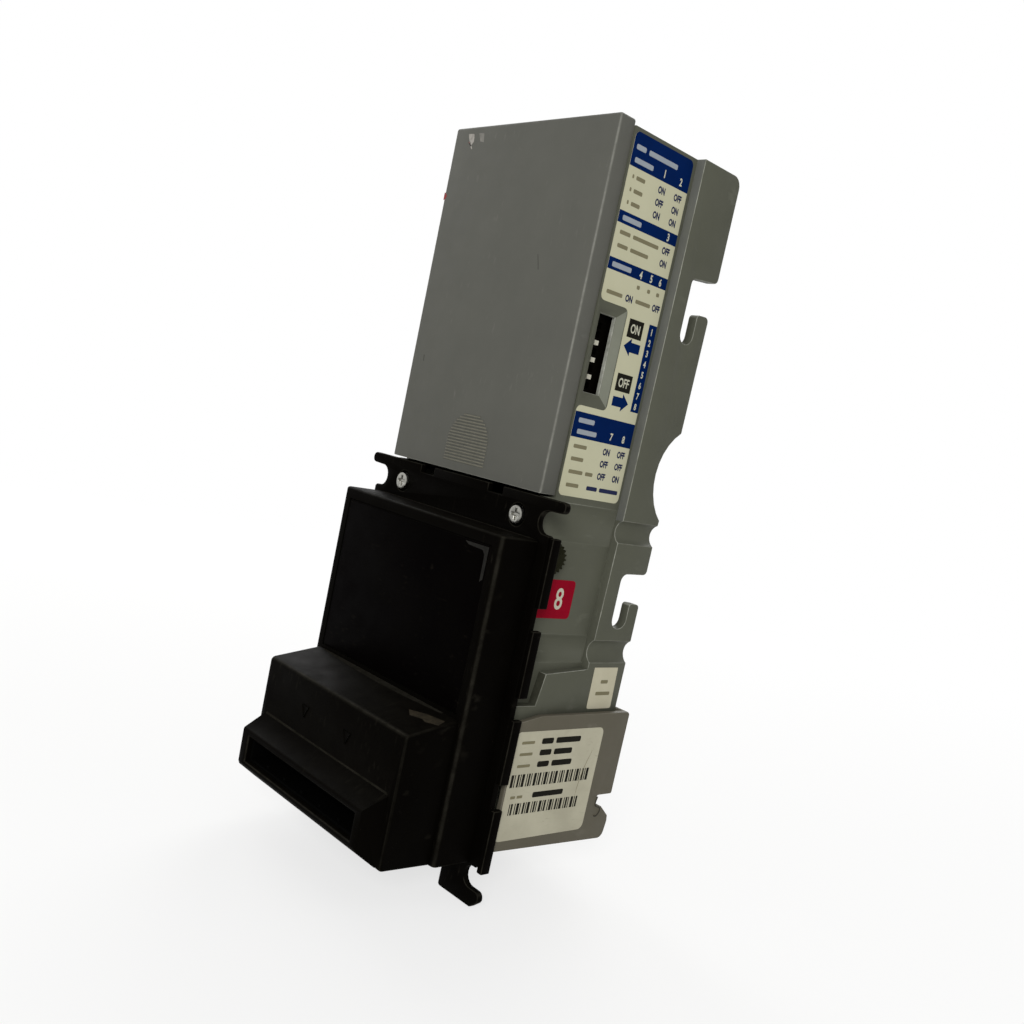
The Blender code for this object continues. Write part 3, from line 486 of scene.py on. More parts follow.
# The step in front of the flange, painted paler than the side as painted light from the front lamp, with a
# finer relief
STEP_PAINTED_LIGHT_ABS = Finish(
    "step_painted_light_abs",
    "#5d5e59",
    "#585953",
    0.5,
    specular=0.12,
    mottle_mm=12.0,
    relief_mm=0.006,
)
# Painted shade in the corner of the low ramp
RAMP_PAINTED_SHADE_ABS = Finish("ramp_painted_shade_abs", "#33332a", "#44453a", 0.6, specular=0.08, mottle_mm=6.0, mottle=1.0)
# Black ABS that has been handled for years: nearly no gloss, dust on ledges, corners rubbed grey and
# carrying a painted highlight
BEZEL_ABS = Finish(
    "moulded_black_abs",
    "#040302",
    "#080705",
    0.5,
    specular=0.008,
    scuff="#1f1d18",
    scuff_share=0.5,
    dust="#24221c",
    dust_share=0.2,
    relief_mm=0.012,
    wear_and_highlight="#2b2923",
    wear_and_highlight_share=0.9,
)
# Smooth black panel set into the bezel
PANEL_ABS = Finish(
    "smooth_black_abs",
    "#030202",
    "#060504",
    0.45,
    specular=0.004,
    scuff="#1d1a15",
    scuff_share=0.5,
    scuff_mm=(4.0, 9.0, 1.4),
    relief_mm=0.004,
    wear_and_highlight="#191713",
    wear_and_highlight_share=0.6,
)
# Dark smooth acetal of the bill guides
GUIDE_ACETAL = Finish("dark_acetal", "#151516", "#101011", 0.42, specular=0.06, relief_mm=0.006)
# Acetal of the guides that show inside the mouth, matt and painted nearly black as the mouth's shade
MOUTH_SHADE_ACETAL = Finish("mouth_painted_shade_acetal", "#030303", "#050504", 0.7, specular=0.01, relief_mm=0.006)
# Dark olive rubber of the thumb wheel
WHEEL_RUBBER = Finish(
    "olive_rubber",
    "#1b1b10",
    "#26261a",
    0.8,
    specular=0.03,
    mottle_mm=2.0,
    relief_mm=0.02,
)
# Ivory nylon sliders
SLIDER_NYLON = Finish(
    "ivory_nylon",
    "#b9b6a8",
    "#a8a594",
    0.4,
    specular=0.1,
    relief_mm=0.004,
    mottle_mm=3.0,
)
# Natural nylon gears, milky and a little waxy
GEAR_NYLON = Finish("milky_nylon", "#d2cfbf", "#c2bea9", 0.42, relief_mm=0.006, mottle_mm=6.0)
# Ground rubber of rollers and belts, dead matt
ROLLER_RUBBER = Finish(
    "ground_rubber",
    "#191918",
    "#242321",
    0.85,
    specular=0.05,
    grain_mm=0.4,
    relief_mm=0.03,
)
# Zinc-plated steel: bright, slightly cloudy
ZINC_STEEL = Finish(
    "zinc_plated_steel",
    "#a5a49d",
    "#7f7e77",
    0.3,
    1.0,
    mottle_mm=1.6,
    mottle=0.9,
    relief_mm=0.01,
)
# Drawn steel of a motor can
MOTOR_STEEL = Finish("drawn_steel_can", "#8d8d8c", "#77777a", 0.34, 1.0, mottle_mm=10.0, relief_mm=0.003)
# Bent spring wire, blackened
WIRE_STEEL = Finish("black_spring_wire", "#3a382f", "#28261f", 0.45, specular=0.1, mottle_mm=2.0)
# Brass pins of the harness socket
PIN_BRASS = Finish("brass_pin", "#c8a24d", "#a9853a", 0.25, 1.0, mottle_mm=2.0, relief_mm=0.002)
# Green solder resist over copper
BOARD_RESIST = Finish("green_solder_resist", "#15502c", "#0f4023", 0.35, mottle_mm=3.0, relief_mm=0.02)
# Vinyl label film, yellowed by age
LABEL_CREAM = Finish(
    "cream_vinyl_film",
    "#b4b298",
    "#a9a68a",
    0.5,
    specular=0.1,
    mottle_mm=30.0,
    relief_mm=0.004,
)
LABEL_WHITE = Finish(
    "white_label_film",
    "#aeaa96",
    "#9d9986",
    0.5,
    specular=0.1,
    mottle_mm=16.0,
    mottle=0.8,
    scuff="#7d7a6d",
    scuff_share=0.4,
    scuff_mm=(3.0, 4.0, 0.8),
    relief_mm=0.005,
)
STICKER_WHITE = Finish("white_paper_sticker", "#b6b19b", "#a8a28c", 0.7, specular=0.06, mottle_mm=6.0)
STICKER_RED = Finish(
    "red_vinyl_film",
    "#85081f",
    "#76061a",
    0.5,
    specular=0.02,
    mottle_mm=8.0,
    relief_mm=0.004,
)
# Screen-printed inks on the labels
INK_BLUE = Finish("blue_print", "#021b4a", "#02163e", 0.5, specular=0.015, mottle_mm=12.0, relief_mm=0.003)
INK_WHITE = Finish("white_print", "#b9b8a6", "#a9a793", 0.5, specular=0.1, mottle_mm=5.0, relief_mm=0.003)
INK_PALE = Finish("pale_print", "#8e949b", "#818890", 0.5, specular=0.1, mottle_mm=5.0, relief_mm=0.003)
INK_BLACK = Finish("black_print", "#15140f", "#1d1b16", 0.5, specular=0.03, mottle_mm=5.0, relief_mm=0.003)
INK_NAVY = Finish("navy_print", "#1e2340", "#2a2f4a", 0.5, specular=0.05, mottle_mm=5.0, relief_mm=0.003)
INK_SEPIA = Finish("sepia_print", "#6f6a53", "#7a745c", 0.5, specular=0.05, mottle_mm=5.0, relief_mm=0.003)
# Marks that use has left
MARK_WHITE = Finish("white_paint_mark", "#a39f98", "#837f79", 0.6, specular=0.05, mottle_mm=2.0, mottle=1.0)
MARK_GREY_PAINT = Finish(
    "grey_paint_mark",
    "#83807a",
    "#6c6b65",
    0.6,
    specular=0.05,
    mottle_mm=2.0,
    mottle=1.0,
)
MARK_RED = Finish("red_paint_mark", "#8b262c", "#7d4442", 0.5, specular=0.1, mottle_mm=1.5, mottle=1.0)
MARK_DARK = Finish("dark_rub_mark", "#3e3e38", "#4c4c46", 0.6, specular=0.1, mottle_mm=1.5, mottle=1.0)
MARK_TAN = Finish("tan_glue_mark", "#352f24", "#1c1913", 0.6, specular=0.05, mottle_mm=2.5, mottle=1.0)
MARK_DUST = Finish("settled_dust", "#24221d", "#15140f", 0.8, specular=0.01, mottle_mm=3.0, mottle=1.0)
MARK_GREY = Finish("grey_glue_film", "#1d1c19", "#12110f", 0.4, specular=0.05, mottle_mm=2.0, mottle=1.0)

SLOT_FINISH = {
    "grey_abs": SIDE_ABS,
    "black_abs": BEZEL_ABS,
    "black_panel": PANEL_ABS,
    "dark_guide_plastic": GUIDE_ACETAL,
    "ivory_slider": SLIDER_NYLON,
    "natural_nylon": GEAR_NYLON,
    "black_rubber": ROLLER_RUBBER,
    "zinc_steel": ZINC_STEEL,
    "motor_can": MOTOR_STEEL,
    "circuit_board": BOARD_RESIST,
}


class Side(Enum):
    """A flat face that a thin piece lies on: the directions across, up and out of it."""

    RIGHT = ((0, 1, 0), (0, 0, 1), (1, 0, 0))
    FRONT = ((1, 0, 0), (0, 0, 1), (0, -1, 0))
    TOP = ((1, 0, 0), (0, 1, 0), (0, 0, 1))

    def matrix(self, face: float) -> Matrix:
        """The matrix from across, up and out to the frame, all in millimetres.

        Args:
            face: how far the face lies along its outward direction.

        Returns:
            A 4 by 4 matrix.
        """
        turn = Matrix(self.value).transposed().to_4x4()
        return turn @ Matrix.Translation((0, 0, face))


def finish_piece(
    name: str,
    bm: bmesh.types.BMesh,
    finishes: Sequence[Finish],
    body: str,
    in_metres: bool = False,
) -> bpy.types.Object:
    """Turn a bmesh into a piece that rides on a body.

    Args:
        name: the piece's name.
        bm: the shape, in millimetres unless in_metres is set.
        finishes: one finish per material index.
        body: the CAD body that carries it.
        in_metres: whether the shape is in metres already.

    Returns:
        The new object.
    """
    if not in_metres:
        bm.transform(Matrix.Scale(MM, 4))
    mesh = bpy.data.meshes.new(name)
    bm.to_mesh(mesh)
    bm.free()
    for finish in finishes:
        mesh.materials.append(finish.material())
    mesh.shade_smooth()
    mesh.set_sharp_from_angle(angle=SMOOTH)
    piece = bpy.data.objects.new(name, mesh)
    bpy.context.scene.collection.objects.link(piece)
    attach(piece, body)
    LOG.info("%s rides on %s", name, body)
    return piece


def bevel(
    bm: bmesh.types.BMesh,
    geom: list[bmesh.types.BMVert] | list[bmesh.types.BMEdge],
    reach: float,
    segments: int,
    affect: str = "EDGES",
    clamp: bool = False,
) -> None:
    """Round some edges, or the corners of a flat face.

    Args:
        bm: the shape.
        geom: the edges or corners.
        reach: how far the rounding reaches, in the shape's own unit.
        segments: how many strips make the rounding.
        affect: EDGES, or VERTICES for corners.
        clamp: whether the rounding stops where it would meet another one.
    """
    bmesh.ops.bevel(
        bm,
        geom=geom,
        offset=reach,
        offset_type="OFFSET",
        affect=affect,
        segments=segments,
        profile=0.5,
        clamp_overlap=clamp,
        material=-1,
    )


def add_plate(
    bm: bmesh.types.BMesh, corners: Sequence[Corner], low: float, high: float, place: Matrix
) -> list[bmesh.types.BMFace]:
    """Add a flat plate with rounded corners.

    Args:
        bm: the bmesh that gets it.
        corners: points across and up, each with an optional rounding radius.
        low: the height of its back above the face.
        high: the height of its front above the face.
        place: the matrix of the face it lies on.

    Returns:
        The plate's faces.
    """
    local = bmesh.new()
    points = [local.verts.new((corner[0], corner[1], low)) for corner in corners]
    local.faces.new(points)
    for radius in sorted({corner[2] for corner in corners if len(corner) > 2}):
        picked = [v for v, corner in zip(points, corners) if len(corner) > 2 and corner[2] == radius]
        bevel(local, picked, radius, CORNER_STRIPS, "VERTICES")
    pushed = bmesh.ops.extrude_face_region(local, geom=local.faces[:])
    moved = [item for item in pushed["geom"] if isinstance(item, bmesh.types.BMVert)]
    bmesh.ops.translate(local, verts=moved, vec=(0, 0, high - low))
    bmesh.ops.recalc_face_normals(local, faces=local.faces)
    return merge_in(bm, local, place)


def merge_in(bm: bmesh.types.BMesh, part: bmesh.types.BMesh, place: Matrix) -> list[bmesh.types.BMFace]:
    """Move a bmesh's contents into another one, placed by a matrix.

    Args:
        bm: the bmesh that gets them.
        part: the bmesh that is moved, and then freed.
        place: the matrix that places it.

    Returns:
        The faces that were added.
    """
    part.transform(place)
    carrier = bpy.data.meshes.new("carrier")
    part.to_mesh(carrier)
    part.free()
    before = len(bm.faces)
    bm.from_mesh(carrier)
    bpy.data.meshes.remove(carrier)
    bm.faces.ensure_lookup_table()
    return bm.faces[before:]


def add_block(bm: bmesh.types.BMesh, low: Sequence[float], high: Sequence[float], round_mm: float) -> None:
    """Add a block between two corners with softly rounded edges.

    Args:
        bm: the bmesh that gets it.
        low: its lowest corner.
        high: its highest corner.
        round_mm: how far the rounding reaches from each edge.
    """
    local = bmesh.new()
    size = [b - a for a, b in zip(low, high)]
    middle = [(a + b) / 2 for a, b in zip(low, high)]
    place = Matrix.Translation(middle) @ Matrix.Diagonal((*size, 1.0))
    bmesh.ops.create_cube(local, size=1.0, matrix=place)
    bevel(local, local.edges[:], round_mm, EDGE_STRIPS)
    merge_in(bm, local, Matrix.Identity(4))


def add_wire(bm: bmesh.types.BMesh, path: Sequence[Sequence[float]], radius: float) -> None:
    """Add a round wire that follows a path smoothly.

    Args:
        bm: the bmesh that gets it.
        path: the points it passes, in millimetres.
        radius: the wire's radius.
    """
    curve = bpy.data.curves.new("wire", "CURVE")
    curve.dimensions = "3D"
    curve.bevel_depth = radius
    curve.bevel_resolution = 2
    curve.use_fill_caps = True
    spline = curve.splines.new("BEZIER")
    spline.bezier_points.add(len(path) - 1)
    for point, place in zip(spline.bezier_points, path):
        point.co = place
        point.handle_left_type = point.handle_right_type = "AUTO"
    spline.resolution_u = 4
    merge_in(bm, curve_mesh(curve), Matrix.Identity(4))


def curve_mesh(curve: bpy.types.Curve) -> bmesh.types.BMesh:
    """Turn a curve or a text into a bmesh and remove the curve.

    Args:
        curve: the curve or text.

    Returns:
        Its mesh, with doubles merged.
    """
    source = bpy.data.objects.new(curve.name, curve)
    bpy.context.scene.collection.objects.link(source)
    bpy.context.view_layer.update()
    mesh = bpy.data.meshes.new_from_object(source.evaluated_get(bpy.context.evaluated_depsgraph_get()))
    bpy.data.objects.remove(source)
    bpy.data.curves.remove(curve)
    bm = bmesh.new()
    bm.from_mesh(mesh)
    bpy.data.meshes.remove(mesh)
    bmesh.ops.remove_doubles(bm, verts=bm.verts[:], dist=CURVE_MERGE)
    return bm


def node_copy(node: bpy.types.Object) -> bmesh.types.BMesh:
    """Copy a CAD node's mesh, merged and with its flat faces whole, in metres.

    Args:
        node: the CAD node.

    Returns:
        The copy.
    """
    bm = bmesh.new()
    bm.from_mesh(node.data)
    bmesh.ops.remove_doubles(bm, verts=bm.verts[:], dist=NODE_MERGE)
    bmesh.ops.dissolve_limit(
        bm,
        angle_limit=FLAT,
        verts=bm.verts[:],
        edges=bm.edges[:],
        use_dissolve_boundaries=False,
    )
    for face in bm.faces:
        face.material_index = 0
    return bm


def inside(point: Vector, box: Box | None) -> bool:
    """Whether a point in metres lies in a box in millimetres, never in no box."""
    return box is not None and all(low < part / MM < high for low, part, high in zip(box[0], point, box[1]))


def middle_of(edge: bmesh.types.BMEdge) -> Vector:
    """The middle of an edge."""
    return (edge.verts[0].co + edge.verts[1].co) / 2


def sharp_edges(bm: bmesh.types.BMesh, seam: Box | None = None) -> list[bmesh.types.BMEdge]:
    """Find the outer edges that are still sharp.

    Args:
        bm: the shape in metres.
        seam: edges that lie in this box are left out, as at a tight seam.

    Returns:
        The sharp edges.
    """
    return [
        edge
        for edge in bm.edges
        if len(edge.link_faces) == 2
        and edge.calc_face_angle_signed() > SHARP
        and not all(inside(vert.co, seam) for vert in edge.verts)
    ]


def has_room(edge: bmesh.types.BMEdge, picked: set[bmesh.types.BMEdge], reach: float) -> bool:
    """Whether an edge can be rounded without running past its neighbours.

    Args:
        edge: the edge.
        picked: all edges that are to be rounded.
        reach: how far the rounding reaches, in metres.

    Returns:
        False where a neighbour or the edge itself is too short.
    """
    for loop in edge.link_loops:
        after = loop.link_loop_next
        used = 0.0
        for corner, other in ((loop, loop.link_loop_prev.edge), (after, after.edge)):
            angle = corner.calc_angle()
            if other in picked:
                used += reach / math.tan(max(angle, LEAST_ANGLE) / 2)
            elif other.calc_length() * math.sin(angle) < reach:
                return False
        if used > edge.calc_length():
            return False
    return True


def round_edges(
    bm: bmesh.types.BMesh, edges: Iterable[bmesh.types.BMEdge], radius_mm: float, segments: int
) -> None:
    """Round those of some edges that have room for it.

    Args:
        bm: the shape in metres.
        edges: the edges to choose from.
        radius_mm: how far the rounding reaches from each edge.
        segments: how many strips make the rounding.
    """
    picked = set(edges)
    tight = picked
    while tight:
        tight = {edge for edge in picked if not has_room(edge, picked, ROOM_MARGIN * radius_mm * MM)}
        picked -= tight
    bevel(bm, list(picked), radius_mm * MM, segments, clamp=True)


def soften(
    bm: bmesh.types.BMesh,
    radius_mm: float,
    seam: Box | None = None,
    broad_mm: float = 0.0,
    broad_in: Box | None = None,
) -> None:
    """Round the sharp outer edges of a shape and note where it is round, for the rubbed edges and their
    painted highlight.

    Args:
        bm: the shape in metres.
        radius_mm: how far the rounding reaches from each edge.
        seam: edges that lie in this box stay sharp, as at a tight seam.
        broad_mm: the reach on the edges that are rounder than the rest.
        broad_in: the box that holds the middles of those edges.
    """
    bmesh.ops.dissolve_degenerate(bm, dist=SLIVER * MM, edges=bm.edges[:])
    if broad_mm > 0:
        broad = [edge for edge in sharp_edges(bm) if inside(middle_of(edge), broad_in)]
        round_edges(bm, broad, broad_mm, BROAD_STRIPS)
    rest = [edge for edge in sharp_edges(bm, seam) if not inside(middle_of(edge), broad_in)]
    round_edges(bm, rest, radius_mm, EDGE_STRIPS)
    bm.normal_update()
    rounded = {face for face in bm.faces if is_rounding(face)}
    # Fullest where the normal leans between the axes, as a painted highlight along each rounding that also
    # stands for rubbing
    layer = bm.verts.layers.float.new(WEAR_AND_HIGHLIGHT_LAYER)
    for vert in bm.verts:
        if all(face in rounded for face in vert.link_faces):
            lean = 1.0 - max(abs(part) for part in vert.normal)
            vert[layer] = min(1.0, lean / FULL_LEAN) ** 2


def is_rounding(face: bmesh.types.BMFace) -> bool:
    """Whether a face is a narrow strip of a convex rounding, with a slight bend at two edges.

    Args:
        face: the face.

    Returns:
        True for such a strip.
    """
    longest = max(edge.calc_length() for edge in face.edges)
    if face.calc_area() > longest * STRIP_WIDTH * MM:
        return False
    bends = [
        edge
        for edge in face.edges
        if len(edge.link_faces) == 2
        and edge.calc_length() > longest / 2
        and LEAST_BEND < edge.calc_face_angle_signed() < MOST_BEND
    ]
    return len(bends) >= 2


@dataclass
class Moulding:
    """A visible CAD shell, replaced by a copy of itself with rounded edges, rubbed pale and with a painted
    highlight.
    """

    node: str
    piece: str
    body: str
    slot: str
    finish: Finish
    radius: float = 0.4
    seam: Box | None = None
    accents: Sequence[tuple[Finish, Box]] = ()
    broad: float = 0.0
    broad_in: Box | None = None

    def build(self, nodes: dict[str, bpy.types.Object]) -> bpy.types.Object:
        """Make the piece and hide the node.

        Args:
            nodes: the frame's CAD nodes.

        Returns:
            The new piece.
        """
        bm = node_copy(nodes[self.node])
        soften(bm, self.radius, self.seam, self.broad, self.broad_in)
        finishes = [self.finish, *(accent[0] for accent in self.accents)]
        for index, (_, box) in enumerate(self.accents, 1):
            for face in bm.faces:
                across, deep, up = face.calc_center_median()
                if inside(Vector((abs(across), deep, up)), box):
                    face.material_index = index
        piece = finish_piece(self.piece, bm, finishes, self.body, in_metres=True)
        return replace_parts(piece, self.node)


class Ink(Enum):
    """An ink of a printed label."""

    BLUE = INK_BLUE
    WHITE = INK_WHITE
    PALE = INK_PALE
    BLACK = INK_BLACK
    NAVY = INK_NAVY
    SEPIA = INK_SEPIA


@dataclass
class PrintedSheet:
    """A label on one face of the part: a film and the inks that lie on it."""

    name: str
    body: str
    side: Side
    face: float
    film: Finish
    thick: float = 0.1
    layer: float = 0.012
    word_round: float = 0.3
    inks: dict[Ink, bmesh.types.BMesh] = field(default_factory=dict)

    def lay(self, corners: Sequence[Corner]) -> bpy.types.Object:
        """Lay the film on the face.

        Args:
            corners: points across and up, each with an optional rounding radius.

        Returns:
            The film's piece.
        """
        bm = bmesh.new()
        add_plate(bm, corners, 0.0, self.thick, self.side.matrix(self.face))
        return finish_piece(f"{self.name}_film", bm, (self.film,), self.body)

    def patch(self, ink: Ink, corners: Sequence[Corner], level: int = 1) -> None:
        """Print a patch of ink, level 2 lying on level 1.

        Args:
            ink: the ink.
            corners: points across and up, each with an optional rounding radius.
            level: how many layers of ink lie here.
        """
        bm = self.inks.setdefault(ink, bmesh.new())
        add_plate(bm, corners, self.thick, self.thick + level * self.layer, self.side.matrix(self.face))

    def bar(self, ink: Ink, low: Corner, high: Corner, level: int = 1, radius: float = 0.0) -> None:
        """Print an upright rectangle between two corners.

        Args:
            ink: the ink.
            low: the lower corner, across and up.
            high: the upper corner, across and up.
            level: how many layers of ink lie here.
            radius: the rounding of its corners.
        """
        corners = [(low[0], low[1]), (high[0], low[1]), (high[0], high[1]), (low[0], high[1])]
        if radius > 0:
            corners = [(*corner, radius) for corner in corners]
        self.patch(ink, corners, level)

    def letters(
        self,
        ink: Ink,
        text: str,
        middle: Corner,
        height: float,
        level: int = 1,
        narrow: float = 0.78,
        bold: float = 0.03,
    ) -> None:
        """Print digits or a switch position, centred on a point.

        Args:
            ink: the ink.
            text: what is printed.
            middle: the centre, across and up.
            height: the height of its capitals.
            level: how many layers of ink lie here.
            narrow: how much narrower than the font's own letters it is.
            bold: how much the strokes grow, as a share of the font's size.
        """
        curve = bpy.data.curves.new("lettering", "FONT")
        curve.body = text
        curve.align_x = "CENTER"
        curve.resolution_u = 3
        curve.extrude = 0.5
        curve.offset = bold
        local = curve_mesh(curve)
        cap = max(v.co.y for v in local.verts) - min(v.co.y for v in local.verts)
        low = min(v.co.y for v in local.verts)
        scale = height / cap
        sized = Matrix.Diagonal((scale * narrow, scale, level * self.layer, 1.0))
        rise = self.thick + level * self.layer / 2
        shift = Matrix.Translation((middle[0], middle[1] - height / 2 - low * scale, rise))
        bm = self.inks.setdefault(ink, bmesh.new())
        merge_in(bm, local, self.side.matrix(self.face) @ shift @ sized)

    def dummy_words(
        self, ink: Ink, spans: Sequence[Corner], middle: float, height: float, level: int = 1
    ) -> None:
        """Print one plain bar for each word of a row.

        Args:
            ink: the ink.
            spans: where each bar starts and ends, across.
            middle: the row's height on the label.
            height: how tall the bars are.
            level: how many layers of ink lie here.
        """
        for start, end in spans:
            low, high = (start, middle - height / 2), (end, middle + height / 2)
            self.bar(ink, low, high, level, height * self.word_round)

    def finish(self) -> None:
        """Make one piece of each ink."""
        for ink, bm in self.inks.items():
            finish_piece(f"{self.name}_{ink.name.lower()}", bm, (ink.value,), self.body)


@dataclass
class SwitchLabel:
    """The tall label beside the switches, with its cut-out, tables, arrows and number strip."""

    face: float = 43.5
    left: float = 7.6
    right: float = 39.2
    bottom: float = 9.9
    top: float = 133.1
    notch_right: float = 22.5
    notch_low: float = 41.4
    notch_high: float = 77.3
    corner: float = 2.0
    capital: float = 2.7
    heading_bar: float = 1.7
    row_capital: float = 2.55
    row_bar: float = 1.35
    box_capital: float = 3.3
    strip_capital: float = 2.4
    strip_top: float = 72.3
    strip_pitch: float = 3.84
    strip_left: float = 35.0
    switches: int = 8
    arrow_head: float = 0.42
    arrow_half: float = 3.1
    shaft_half: float = 1.7

    def build(self) -> None:
        """Lay the film and print its tables."""
        sheet = PrintedSheet("switch_label", "chassis", Side.RIGHT, self.face, LABEL_CREAM)
        round_ = self.corner
        sheet.lay(
            [
                (self.left, self.bottom, round_),
                (self.right, self.bottom, round_),
                (self.right, self.top, round_),
                (self.left, self.top, round_),
                (self.left, self.notch_high, round_),
                (self.notch_right, self.notch_high, round_),
                (self.notch_right, self.notch_low, round_),
                (self.left, self.notch_low, round_),
            ]
        )
        self._headings(sheet)
        self._tables(sheet)
        self._signs(sheet)
        sheet.finish()

    def _headings(self, sheet: PrintedSheet) -> None:
        """Print the four blue bands, with dummy words and switch numbers.

        Args:
            sheet: the label.
        """
        low, high = 121.9, self.top
        sheet.patch(
            Ink.BLUE,
            [
                (self.left, low),
                (self.right, low),
                (self.right, high, self.corner),
                (self.left, high, self.corner),
            ],
        )
        for band in ((103.3, 107.3), (87.8, 91.8), (30.4, 39.2)):
            sheet.bar(Ink.BLUE, (self.left, band[0]), (self.right, band[1]))
        for middle, spans in (
            (128.4, ((9.2, 14.2), (15.8, 31.4))),
            (124.2, ((9.6, 19.4),)),
            (105.2, ((9.8, 19.6),)),
            (89.7, ((9.6, 19.6),)),
            (36.4, ((9.9, 18.0),)),
            (32.5, ((10.2, 20.2),)),
        ):
            sheet.dummy_words(Ink.PALE, spans, middle, self.heading_bar, level=2)
        for text, across, up in (
            ("1", 25.7, 124.5),
            ("2", 34.7, 124.5),
            ("3", 34.5, 105.3),
            ("4", 24.9, 89.7),
            ("5", 30.6, 89.7),
            ("6", 35.6, 89.7),
            ("7", 28.0, 33.0),
            ("8", 34.7, 33.0),
        ):
            sheet.letters(Ink.WHITE, text, (across, up), self.capital, level=2)

    def _tables(self, sheet: PrintedSheet) -> None:
        """Print the rows under each heading.

        Args:
            sheet: the label.
        """
        for up, spans, settings in (
            (118.9, ((10.1, 11.0), (12.2, 16.8)), (("ON", 25.9), ("OFF", 34.8))),
            (114.6, ((10.1, 11.0), (12.2, 16.8)), (("OFF", 25.9), ("ON", 34.8))),
            (110.4, ((10.1, 11.0), (12.2, 16.8)), (("ON", 25.9), ("ON", 34.8))),
            (100.5, ((9.9, 15.4), (16.8, 30.6)), (("OFF", 34.8),)),
            (96.1, ((10.0, 15.4), (16.8, 26.4)), (("ON", 34.8),)),
            (85.3, ((24.1, 25.7), (29.8, 31.4), (34.9, 36.5)), ()),
            (80.6, ((9.7, 17.9), (25.0, 33.0)), (("ON", 21.5), ("OFF", 36.3))),
            (27.4, ((10.1, 16.8),), (("ON", 27.3), ("OFF", 35.2))),
            (23.0, ((10.1, 16.4),), (("OFF", 27.3), ("OFF", 35.2))),
            (18.5, ((10.3, 17.4), (18.8, 22.7)), (("OFF", 27.3), ("ON", 35.2))),
            (13.8, ((10.4, 16.8),), ()),
        ):
            sheet.dummy_words(Ink.SEPIA, spans, up, self.row_bar)
            for text, across in settings:
                sheet.letters(Ink.NAVY, text, (across, up), self.row_capital, narrow=0.74, bold=0.05)
        sheet.dummy_words(Ink.NAVY, ((21.0, 26.6), (27.8, 37.8)), 13.7, 1.5)

    def _signs(self, sheet: PrintedSheet) -> None:
        """Print the ON and OFF boxes, the arrows and the strip of switch numbers.

        Args:
            sheet: the label.
        """
        for text, middle, low, high in (
            ("ON", (28.2, 71.4), (24.3, 68.2), (32.1, 74.6)),
            ("OFF", (28.3, 52.4), (24.3, 49.3), (32.4, 55.5)),
        ):
            sheet.bar(Ink.BLACK, low, high)
            sheet.letters(Ink.WHITE, text, middle, self.box_capital, level=2, narrow=0.72, bold=0.02)
        self._arrow(sheet, 24.0, 32.6, 65.0)
        self._arrow(sheet, 33.0, 24.4, 45.6)
        sheet.bar(Ink.BLUE, (self.strip_left, 43.4), (self.right, 74.8))
        for i in range(self.switches):
            up = self.strip_top - self.strip_pitch * i
            sheet.letters(Ink.WHITE, str(i + 1), (37.0, up), self.strip_capital, level=2)

    def _arrow(self, sheet: PrintedSheet, tip: float, tail: float, middle: float) -> None:
        """Print a block arrow from its tail to its tip.

        Args:
            sheet: the label.
            tip: where it points, across.
            tail: where it starts, across.
            middle: its height on the label.
        """
        neck = tip + (tail - tip) * self.arrow_head
        sheet.patch(
            Ink.BLUE,
            [
                (tip, middle),
                (neck, middle + self.arrow_half),
                (neck, middle + self.shaft_half),
                (tail, middle + self.shaft_half),
                (tail, middle - self.shaft_half),
                (neck, middle - self.shaft_half),
                (neck, middle - self.arrow_half),
            ],
        )


@dataclass
class RatingLabel:
    """The white label on the lower housing: dummy rows and two generic bar patterns."""

    face: float = 51.0
    left: float = 6.2
    right: float = 51.6
    bottom: float = -114.6
    top: float = -73.7
    bar_widths: tuple[float, ...] = (0.45, 0.9, 0.45, 1.3)
    bar_gaps: tuple[float, ...] = (0.5, 0.45, 0.95)
    bar_margin: float = 1.2

    def build(self) -> None:
        """Lay the film and print it."""
        sheet = PrintedSheet("rating_label", "lower_housing", Side.RIGHT, self.face, LABEL_WHITE)
        sheet.lay(
            [
                (self.left, self.bottom, 1.5),
                (self.right, self.bottom, 2.5),
                (self.right, self.top, 2.5),
                (self.left, self.top, 1.5),
            ]
        )
        for middle, end in ((-77.6, 39.5), (-81.9, 36.0), (-86.3, 37.0)):
            sheet.dummy_words(Ink.BLACK, ((19.0, 25.0), (26.4, end)), middle, 2.2)
            sheet.dummy_words(Ink.SEPIA, ((9.0, 15.4),), middle - 0.2, 1.1)
        sheet.dummy_words(Ink.BLACK, ((20.0, 36.0),), -98.0, 2.1)
        sheet.dummy_words(Ink.SEPIA, ((9.0, 11.4), (12.2, 15.0)), -98.2, 1.1)
        self._bars(sheet, 7.4, 49.6, -94.4, -89.6, 7)
        self._bars(sheet, 9.4, 46.8, -104.9, -100.6, 4)
        self._scratch(sheet)
        sheet.finish()

    @staticmethod
    def _scratch(sheet: PrintedSheet) -> None:
        """Draw the long thin scratch that runs down through both bar patterns.

        Args:
            sheet: the label.
        """
        path = ((47.9, -81.9), (46.3, -86.2), (44.8, -90.1), (43.6, -96.7), (43.2, -101.1))
        back = [(across - 0.25, up - 0.1) for across, up in reversed(path[1:-1])]
        sheet.patch(Ink.SEPIA, [*path, *back], level=2)

    def _bars(
        self, sheet: PrintedSheet, start: float, end: float, low: float, high: float, seed: int
    ) -> None:
        """Print upright bars of uneven width, a plain pattern that holds no number.

        Args:
            sheet: the label.
            start: where the pattern starts, across.
            end: where it has ended.
            low: the foot of the bars.
            high: their top.
            seed: which of the patterns it is.
        """
        across, i = start, 0
        while across < end - self.bar_margin:
            width = self.bar_widths[(i * 5 + seed) % len(self.bar_widths)]
            sheet.bar(Ink.BLACK, (across, low), (across + width, high))
            across += width + self.bar_gaps[(i * 7 + seed) % len(self.bar_gaps)]
            i += 1


